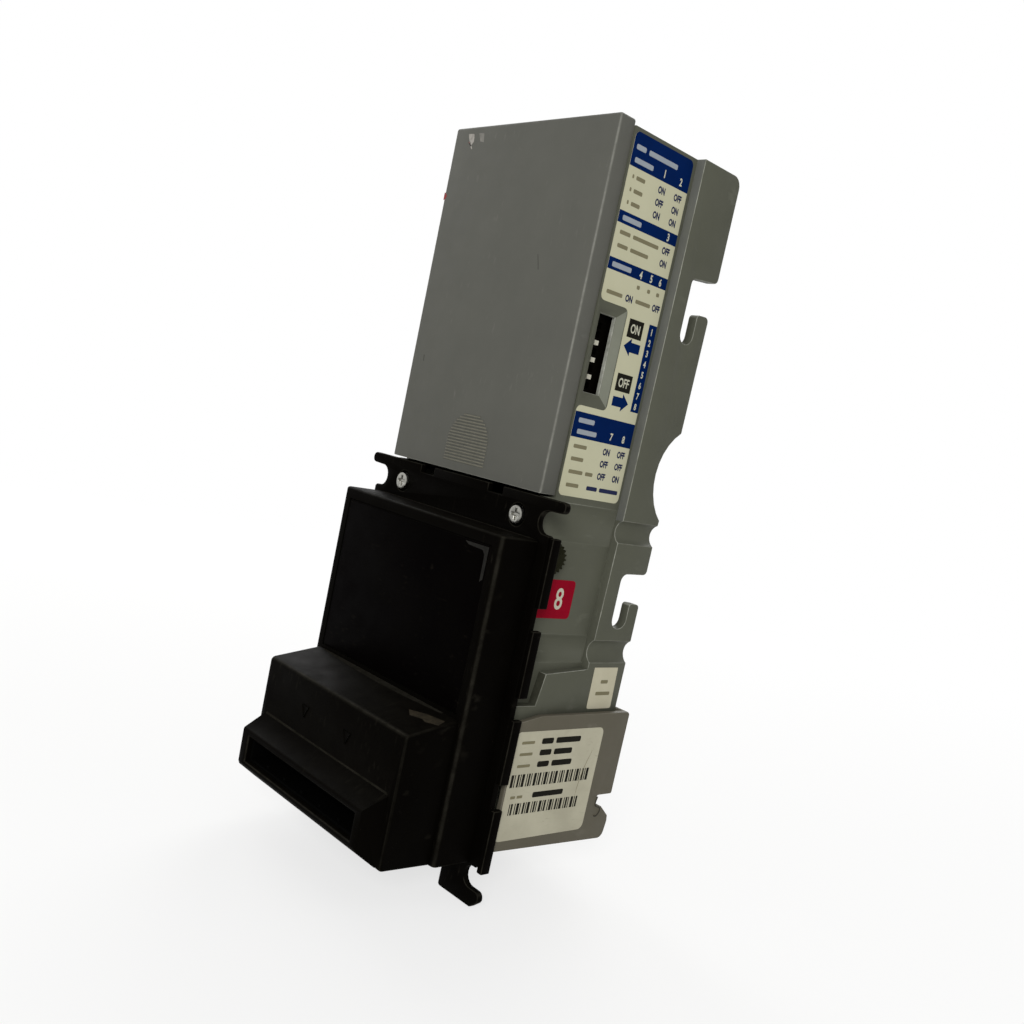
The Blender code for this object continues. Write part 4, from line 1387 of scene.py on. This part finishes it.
@dataclass
class Stickers:
    """The red sticker on the side panel and the small paper one on the flange."""

    panel_face: float = 43.5
    flange_face: float = 47.25

    def build(self) -> None:
        """Lay both stickers."""
        red = PrintedSheet("red_sticker", "chassis", Side.RIGHT, self.panel_face, STICKER_RED)
        red.lay([(8.4, -34.2, 1.6), (26.6, -34.2, 1.6), (26.6, -20.0, 1.6), (8.4, -20.0, 1.6)])
        red.letters(Ink.WHITE, "8", (19.6, -26.9), 8.0, bold=0.012)
        red.finish()
        paper = PrintedSheet("paper_sticker", "chassis", Side.RIGHT, self.flange_face, STICKER_WHITE)
        paper.lay([(43.2, -67.6, 1.0), (56.8, -67.6, 1.0), (56.2, -51.4), (43.0, -51.4)])
        paper.dummy_words(Ink.SEPIA, ((48.0, 52.0),), -57.0, 1.4)
        paper.dummy_words(Ink.SEPIA, ((46.4, 54.4),), -61.6, 1.4)
        paper.finish()


@dataclass
class MagazineDoor:
    """The front door of the bill store: its shell, thumb grip, spring and marks of use."""

    face: float = 0.3
    grip_half: float = 11.5
    grip_low: float = 12.6
    grip_round: float = 19.4
    ridge_pitch: float = 1.15
    ridge_high: float = 0.28
    ridge_root: float = 0.1
    ridge_share: float = 0.62
    ridge_round: float = 0.25
    grip_margin: float = 0.6
    mark_thick: float = 0.02
    top_round: float = 0.9
    spring_turns: int = 5
    spring_points: int = 16
    spring_wire: float = 0.6
    spring_wide: float = 16.8
    spring_narrow: float = 9.0
    spring_up: float = 71.0
    spring_keep: float = 0.255

    def build(self, nodes: dict[str, bpy.types.Object]) -> None:
        """Make the shell, the grip, the marks and the spring.

        Args:
            nodes: the frame's CAD nodes.
        """
        Moulding(
            "magazine_door",
            "door_moulding",
            "magazine_door",
            "grey_abs",
            DOOR_ABS,
            radius=0.35,
            seam=SEAM,
            broad=self.top_round,
            broad_in=((-50.0, -2.0, 136.0), (50.0, 8.0, 138.0)),
        ).build(nodes)
        self._grip()
        self._marks()
        self._spring()

    def _spring(self) -> None:
        """Wind the conical spring in the place of the CAD spring."""
        low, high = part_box("pressure_spring")
        start, end = low.y / MM + self.spring_wire, high.y / MM - self.spring_wire
        count = self.spring_points * self.spring_turns
        path = []
        for i in range(count + 1):
            share = i / count
            angle = math.tau * self.spring_turns * share
            radius = self.spring_wide + (self.spring_narrow - self.spring_wide) * share
            deep = start + (end - start) * share
            path.append((radius * math.cos(angle), deep, self.spring_up + radius * math.sin(angle)))
        bm = bmesh.new()
        add_wire(bm, path, self.spring_wire)
        piece = finish_piece("coil_spring", bm, (ZINC_STEEL,), "magazine_door")
        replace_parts(piece, "pressure_spring")
        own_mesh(piece)

    def _grip(self) -> None:
        """Raise an arch of fine level ridges for the thumb."""
        bm = bmesh.new()
        up = self.grip_low
        while up < self.grip_round + self.grip_half - self.grip_margin:
            above = max(0.0, up - self.grip_round)
            half = math.sqrt(self.grip_half**2 - above**2)
            add_block(
                bm,
                (-half, -self.face - self.ridge_high, up),
                (half, -self.face + self.ridge_root, up + self.ridge_share * self.ridge_pitch),
                self.ridge_round,
            )
            up += self.ridge_pitch
        finish_piece("thumb_grip", bm, (GRIP_ABS,), "magazine_door")

    def _marks(self) -> None:
        """Leave small paint and rub marks near the top and the left edge."""
        marks = {
            MARK_WHITE: [
                [(-35.2, 133.9, 0.4), (-31.7, 133.7, 0.4), (-31.2, 130.8), (-32.4, 129.6), (-33.8, 131.0)],
                [(-34.0, 130.6), (-33.2, 130.8), (-31.4, 128.2), (-31.9, 128.0)],
            ],
            MARK_GREY_PAINT: [
                [(-29.0, 133.8, 0.4), (-25.9, 133.6, 0.4), (-25.3, 130.3), (-27.4, 130.7)],
            ],
            MARK_RED: [
                [(-34.4, 130.9), (-33.9, 130.8), (-32.2, 129.2), (-32.7, 129.1)],
                [
                    (-42.95, 112.2, 0.3),
                    (-41.9, 111.9, 0.6),
                    (-41.3, 110.6, 0.6),
                    (-42.0, 109.5, 0.4),
                    (-42.95, 109.3),
                ],
            ],
            MARK_DARK: [
                [(16.8, 89.6), (17.3, 89.4), (19.0, 84.4), (18.6, 84.2)],
                [(-36.0, 49.8), (-35.3, 49.6), (-35.2, 47.4), (-35.7, 47.2)],
            ],
        }
        for finish, outlines in marks.items():
            bm = bmesh.new()
            for corners in outlines:
                add_plate(bm, corners, 0.0, self.mark_thick, Side.FRONT.matrix(self.face))
            finish_piece(f"door_{finish.name}", bm, (finish,), "magazine_door")


@dataclass
class Bezel:
    """The black bezel with its panel, screws, feed arrows, marks of use and rubbed edges with a painted
    highlight.
    """

    panel_face: float = 16.7
    snout_face: float = 37.7
    box_top: float = -6.3
    shelf_up: float = -75.4
    shelf_tilt: float = math.atan2(4.6, 21.9)
    arrow_up: float = -87.6
    arrow_size: float = 4.6
    arrow_across: tuple[float, float] = (-15.0, 12.5)
    arrow_root: float = -0.05
    arrow_high: float = 0.35
    arrow_rim: float = 0.5
    arrow_hollow: float = 0.25
    front_round: float = 1.3
    mark_thick: float = 0.03

    def build(self, nodes: dict[str, bpy.types.Object]) -> None:
        """Make the shell and what is on it.

        Args:
            nodes: the frame's CAD nodes.
        """
        Moulding(
            "bezel",
            "bezel_moulding",
            "chassis",
            "black_abs",
            BEZEL_ABS,
            radius=0.4,
            broad=self.front_round,
            broad_in=((-60.0, -60.0, -140.0), (60.0, -7.0, 10.0)),
        ).build(nodes)
        Moulding(
            "bezel_window", "bezel_panel", "chassis", "black_panel", PANEL_ABS, radius=0.2
        ).build(nodes)
        for side in ("left", "right"):
            Moulding(
                f"bezel_screw_{side}", f"screw_{side}", "chassis", "zinc_steel", ZINC_STEEL, radius=0.3
            ).build(nodes)
        self._arrows()
        self._marks()

    def _arrows(self) -> None:
        """Raise two feed arrows on the snout, each a triangle with a hollow middle."""
        bm = bmesh.new()
        for across in self.arrow_across:
            half = self.arrow_size / 2
            corners = [
                (across - half, self.arrow_up + half),
                (across, self.arrow_up - half),
                (across + half, self.arrow_up + half),
            ]
            place = Side.FRONT.matrix(self.snout_face)
            faces = add_plate(bm, corners, self.arrow_root, self.arrow_high, place)
            front = [face for face in faces if face.normal.y < -0.9]
            bmesh.ops.inset_region(
                bm,
                faces=front,
                thickness=self.arrow_rim,
                depth=-self.arrow_hollow,
                use_even_offset=True,
            )
        finish_piece("feed_arrows", bm, (BEZEL_ABS,), "chassis")

    def _marks(self) -> None:
        """Leave a torn corner of old film, dust in the corners and a few rubs."""
        panel = Side.FRONT.matrix(self.panel_face)
        tilt = Matrix.Rotation(self.shelf_tilt, 4, "X")
        shelf = Matrix.Translation((0, -self.snout_face, self.shelf_up)) @ tilt
        film = [
            (29.0, -11.6),
            (41.4, -11.4),
            (41.3, -22.4),
            (40.0, -23.6),
            (39.8, -14.4),
            (38.6, -12.9),
            (31.0, -12.6),
        ]
        shelf_dust = [
            (-40.0, 20.5),
            (-20.0, 19.1),
            (0.0, 18.4),
            (16.0, 18.8),
            (36.0, 20.4),
            (36.0, 21.4),
            (-40.0, 21.4),
        ]
        box_dust = [(-44.0, -1.4), (-10.0, -1.9), (30.0, -1.5), (44.0, -1.8), (44.0, -0.05), (-44.0, -0.05)]
        mouth_dust = [(-40.6, -97.2), (40.6, -97.2), (40.0, -96.4), (10.0, -96.5), (-40.0, -96.3)]
        rub = [
            (27.0, 13.4),
            (33.5, 16.0),
            (42.0, 17.4),
            (43.4, 13.6),
            (38.5, 11.6),
            (36.0, 12.4),
            (31.0, 10.8),
        ]
        for name, finish, place, corners in (
            ("panel_film_remnant", MARK_GREY, panel, film),
            ("shelf_dust", MARK_DUST, shelf, shelf_dust),
            ("box_top_dust", MARK_DUST, Side.TOP.matrix(self.box_top), box_dust),
            ("mouth_root_dust", MARK_DUST, Side.FRONT.matrix(self.snout_face), mouth_dust),
            ("shelf_tan_rub", MARK_TAN, shelf, rub),
        ):
            bm = bmesh.new()
            add_plate(bm, corners, 0.0, self.mark_thick, place)
            finish_piece(name, bm, (finish,), "chassis")


@dataclass
class Chassis:
    """The grey sides and the rear cover with its screws, ribs and socket pins.

    The accents are faces with a finish of their own, each held by a box that counts for both sides.
    """

    rear_face: float = 60.3
    screw_x: float = 29.0
    screw_cut: float = 0.9
    screw_round: float = 0.3
    screw_up: tuple[float, float] = (-33.0, 124.0)
    rib_x: float = 22.0
    rib_half: float = 1.0
    rib_ends: tuple[float, float] = (-34.0, 112.0)
    rib_root: float = 0.3
    rib_high: float = 0.9
    slats: int = 9
    slat_low: float = 28.0
    slat_pitch: float = 5.0
    slat_half: float = 17.0
    slat_thick: float = 1.8
    rib_round: float = 0.4
    pin_half: float = 0.35
    pin_pitch: float = 2.5
    pin_rows: tuple[float, float] = (-55.2, -51.8)
    pin_first: float = -20.5
    pins: int = 5
    pin_ends: tuple[float, float] = (52.5, 59.5)
    pin_round: float = 0.12
    # Painted highlight on the switch recess's side, painted light on the flange's front step and painted
    # shade in the ramp's corner
    accents: tuple[tuple[Finish, Box], ...] = (
        (RECESS_HIGHLIGHT_ABS, ((41.6, 19.6, 46.0), (43.4, 22.2, 74.0))),
        (STEP_PAINTED_LIGHT_ABS, ((43.9, 38.5, 3.0), (46.7, 41.6, 134.0))),
        (RAMP_PAINTED_SHADE_ABS, ((43.8, 4.0, -67.0), (46.9, 23.2, -54.4))),
    )

    def build(self, nodes: dict[str, bpy.types.Object]) -> None:
        """Make the shells and the rear details.

        Args:
            nodes: the frame's CAD nodes.
        """
        for side in ("right", "left"):
            Moulding(
                f"{side}_side_wall",
                f"{side}_side_moulding",
                "chassis",
                "grey_abs",
                SIDE_ABS,
                radius=0.5,
                seam=SEAM,
                accents=self.accents,
            ).build(nodes)
        Moulding(
            "rear_cover", "rear_cover_moulding", "chassis", "grey_abs", SIDE_ABS, radius=0.5
        ).build(nodes)
        self._ribs()
        self._pins()
        self._screws(nodes["bezel_screw_right"])

    def _ribs(self) -> None:
        """Raise stiffening ribs and a vent grille on the rear cover."""
        bm = bmesh.new()
        low, high = self.rear_face - self.rib_root, self.rear_face + self.rib_high
        foot, top = self.rib_ends
        for across in (-self.rib_x, self.rib_x):
            left, right = across - self.rib_half, across + self.rib_half
            add_block(bm, (left, low, foot), (right, high, top), self.rib_round)
        for i in range(self.slats):
            up = self.slat_low + self.slat_pitch * i
            end = (self.slat_half, high, up + self.slat_thick)
            add_block(bm, (-self.slat_half, low, up), end, self.rib_round)
        finish_piece("rear_cover_ribs", bm, (SIDE_ABS,), "chassis")

    def _pins(self) -> None:
        """Set two rows of brass pins in the harness socket."""
        bm = bmesh.new()
        front, rear = self.pin_ends
        for row in self.pin_rows:
            for i in range(self.pins):
                across = self.pin_first + self.pin_pitch * i
                start = (across - self.pin_half, front, row - self.pin_half)
                end = (across + self.pin_half, rear, row + self.pin_half)
                add_block(bm, start, end, self.pin_round)
        finish_piece("harness_pins", bm, (PIN_BRASS,), "chassis")

    def _screws(self, pattern: bpy.types.Object) -> None:
        """Put the bezel's screw heads, turned round, on the corners of the rear cover.

        Args:
            pattern: the CAD node of the screw that is copied.
        """
        bm = bmesh.new()
        low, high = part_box("bezel_screw_right")
        middle = (low + high) / 2
        for across in (-self.screw_x, self.screw_x):
            for up in self.screw_up:
                local = node_copy(pattern)
                soften(local, self.screw_round)
                bmesh.ops.bisect_plane(
                    local,
                    geom=local.verts[:] + local.edges[:] + local.faces[:],
                    plane_co=(0, self.screw_cut * MM, 0),
                    plane_no=(0, 1, 0),
                    clear_outer=True,
                )
                local.transform(Matrix.Translation((-middle.x, 0, 0)))
                corner = Matrix.Translation((across * MM, self.rear_face * MM, up * MM))
                merge_in(bm, local, corner @ Matrix.Rotation(math.pi, 4, "Z"))
        finish_piece("rear_cover_screws", bm, (ZINC_STEEL,), "chassis", in_metres=True)


@dataclass
class LowerHousing:
    """The grey tray under the chassis and the wire catch in its notch."""

    face: float = 51.0
    wire: float = 0.3

    def build(self, nodes: dict[str, bpy.types.Object]) -> None:
        """Make the shell and the catch.

        Args:
            nodes: the frame's CAD nodes.
        """
        Moulding(
            "lower_housing", "tray_moulding", "lower_housing", "grey_abs", TRAY_ABS, radius=0.35
        ).build(nodes)
        self._catch()

    def _catch(self) -> None:
        """Bend a short spring wire round the corner of the notch."""
        path = (
            (57.0, -102.2),
            (56.6, -105.2),
            (57.4, -106.1),
            (59.6, -106.9),
            (60.0, -107.9),
            (59.2, -109.6),
            (58.2, -110.3),
            (57.3, -110.0),
        )
        bm = bmesh.new()
        add_wire(bm, [(self.face, across, up) for across, up in path], self.wire)
        finish_piece("latch_wire", bm, (WIRE_STEEL,), "lower_housing")


@dataclass
class Mechanism:
    """Everything inside, which keeps its CAD shape and gets the finish of its material slot."""

    own_finish: dict[str, Finish] = field(
        default_factory=lambda: {
            "thumb_wheel": WHEEL_RUBBER,
            # The guides in the mouth are painted darker than the other guides, as painted shade
            "mouth_guide": MOUTH_SHADE_ACETAL,
            "upper_guide": MOUTH_SHADE_ACETAL,
            "lower_guide": MOUTH_SHADE_ACETAL,
        }
    )
    cap_radius: float = 3.4
    cap_taper: float = 0.8
    cap_high: float = 0.8
    cap_stand: float = 0.3

    def build(self, frame: dict[str, object]) -> None:
        """Dress each CAD node by its slot in the record, and cap the thumb wheel.

        Args:
            frame: the loaded frame.
        """
        for row in frame["record"]["subparts"]:
            node = frame["nodes"][row["node"]]
            finish = self.own_finish.get(row["node"], SLOT_FINISH[row["material_slot"]])
            material = finish.material()
            if not node.material_slots:
                node.data.materials.append(material)
            for held in node.material_slots:
                held.material = material
        self._wheel_cap()

    def _wheel_cap(self) -> None:
        """Cover the end of the thumb wheel's shaft with a low domed cap."""
        low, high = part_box("thumb_wheel")
        middle = (low + high) / 2 / MM
        bm = bmesh.new()
        end = Matrix.Translation((high.x / MM + self.cap_stand, middle.y, middle.z))
        bmesh.ops.create_cone(
            bm,
            cap_ends=True,
            segments=24,
            radius1=self.cap_radius,
            radius2=self.cap_radius * self.cap_taper,
            depth=self.cap_high,
            matrix=end @ Matrix.Rotation(math.pi / 2, 4, "Y"),
        )
        finish_piece("thumb_wheel_cap", bm, (WHEEL_RUBBER,), "thumb_drive")


@dataclass(frozen=True)
class Viewpoint:
    """The photograph's camera: its place in millimetres, its axes, lens and shift."""

    place: tuple[float, float, float] = (293.602, -249.744, 27.235)
    right: tuple[float, float, float] = (0.66286522, 0.71936426, 0.20766501)
    down: tuple[float, float, float] = (0.22969189, 0.06860942, -0.97084210)
    ahead: tuple[float, float, float] = (-0.71263689, 0.69123643, -0.11975334)
    lens: float = 36.5
    sensor: float = 36.0
    shift_up: float = 48.8 / 1024
    clip: tuple[float, float] = (0.01, 50.0)

    def build(self) -> None:
        """Make the camera and use it."""
        data = bpy.data.cameras.new("camera")
        data.lens = self.lens
        data.sensor_width = self.sensor
        data.shift_y = self.shift_up
        data.clip_start, data.clip_end = self.clip
        camera = bpy.data.objects.new("camera", data)
        axes = [Vector(self.right), -Vector(self.down), -Vector(self.ahead)]
        turn = Matrix([list(axis) for axis in axes]).transposed().to_4x4()
        camera.matrix_world = Matrix.Translation(Vector(self.place) * MM) @ turn
        bpy.context.scene.collection.objects.link(camera)
        bpy.context.scene.camera = camera


@dataclass(frozen=True)
class Studio:
    """A pale floor, a white surround and soft lamps at a plain level."""

    floor_half: float = 4.0
    surround: float = 0.38
    floor_gap: float = 0.0005
    floor_colour: str = "#f4f4f2"
    lamps: tuple[tuple[str, tuple[float, float, float], float, float], ...] = (
        ("key_lamp", (0.9, -1.0, 0.5), 0.6, 13.5),
        ("left_lamp", (-1.35, 0.2, 0.5), 0.8, 8.0),
        ("rear_lamp", (-0.9, 1.3, 0.9), 1.2, 16.0),
    )

    def build(self, low: Vector) -> None:
        """Make the floor, the world and the lamps.

        Args:
            low: the object's lowest corner.
        """
        self._floor(low.z - self.floor_gap)
        self._world()
        for name, place, size, power in self.lamps:
            data = bpy.data.lights.new(name, "AREA")
            data.shape = "DISK"
            data.size = size
            data.energy = power
            lamp = bpy.data.objects.new(name, data)
            lamp.location = place
            lamp.rotation_euler = (-Vector(place)).to_track_quat("-Z", "Y").to_euler()
            bpy.context.scene.collection.objects.link(lamp)
        bpy.context.scene.view_settings.view_transform = "Standard"

    def _floor(self, height: float) -> None:
        """Lay a pale floor that keeps the object's shadow and fades to white far away.

        Args:
            height: where the floor lies, in metres.
        """
        bm = bmesh.new()
        bmesh.ops.create_grid(bm, x_segments=8, y_segments=8, size=self.floor_half)
        bmesh.ops.translate(bm, verts=bm.verts[:], vec=(0, 0, height))
        mesh = bpy.data.meshes.new("floor")
        bm.to_mesh(mesh)
        bm.free()
        floor = bpy.data.objects.new("floor", mesh)
        bpy.context.scene.collection.objects.link(floor)
        floor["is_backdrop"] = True
        material = bpy.data.materials.new("pale_floor")
        material.use_nodes = True
        tree = material.node_tree
        shader = tree.nodes["Principled BSDF"]
        shader.inputs["Base Color"].default_value = linear(self.floor_colour)
        shader.inputs["Roughness"].default_value = 0.9
        shader.inputs["Specular IOR Level"].default_value = 0.0
        glow = add_node(tree, "ShaderNodeEmission", {"Strength": 1.0})
        seen = self._seen(tree)
        place = add_node(tree, "ShaderNodeTexCoord").outputs["Object"]
        away = add_node(tree, "ShaderNodeVectorMath", {0: place}, operation="LENGTH")
        far = add_node(
            tree,
            "ShaderNodeMapRange",
            {"Value": away.outputs["Value"], "From Min": 0.15, "From Max": 0.9, "To Min": 0.7},
        )
        share = add_node(tree, "ShaderNodeMath", {0: seen, 1: far.outputs["Result"]}, operation="MULTIPLY")
        mixed = add_node(
            tree,
            "ShaderNodeMixShader",
            {0: share.outputs[0], 1: shader.outputs["BSDF"], 2: glow.outputs["Emission"]},
        )
        tree.links.new(mixed.outputs["Shader"], tree.nodes["Material Output"].inputs["Surface"])
        mesh.materials.append(material)

    def _world(self) -> None:
        """Surround the object with white, seen at full strength and lighting at a plain level."""
        world = bpy.data.worlds.new("surround")
        world.use_nodes = True
        bpy.context.scene.world = world
        tree = world.node_tree
        seen = self._seen(tree)
        level = add_node(
            tree, "ShaderNodeMapRange", {"Value": seen, "To Min": self.surround, "To Max": 1.0}
        )
        ground = tree.nodes["Background"]
        ground.inputs["Color"].default_value = (1, 1, 1, 1)
        tree.links.new(level.outputs["Result"], ground.inputs["Strength"])

    @staticmethod
    def _seen(tree: bpy.types.NodeTree) -> Socket:
        """One for rays from the camera, a reflection or glass, else nothing.

        Args:
            tree: the node tree of the floor or the surround.

        Returns:
            The share's socket.
        """
        path = add_node(tree, "ShaderNodeLightPath")
        seen = path.outputs["Is Camera Ray"]
        for ray in ("Is Glossy Ray", "Is Transmission Ray"):
            step = add_node(tree, "ShaderNodeMath", {0: seen, 1: path.outputs[ray]}, operation="MAXIMUM")
            seen = step.outputs[0]
        return seen


def main() -> None:
    """Load the frame and build every sub-assembly around it."""
    logging.basicConfig(level=logging.INFO, format="%(name)s: %(message)s")
    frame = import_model()
    cad_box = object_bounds()
    nodes = frame["nodes"]
    for item in list(bpy.data.objects):
        if item.type in {"CAMERA", "LIGHT"}:
            bpy.data.objects.remove(item)
    Viewpoint().build()
    Studio().build(cad_box[0])
    Mechanism().build(frame)
    Chassis().build(nodes)
    MagazineDoor().build(nodes)
    Bezel().build(nodes)
    LowerHousing().build(nodes)
    SwitchLabel().build()
    RatingLabel().build()
    Stickers().build()


if __name__ == "__main__":
    main()
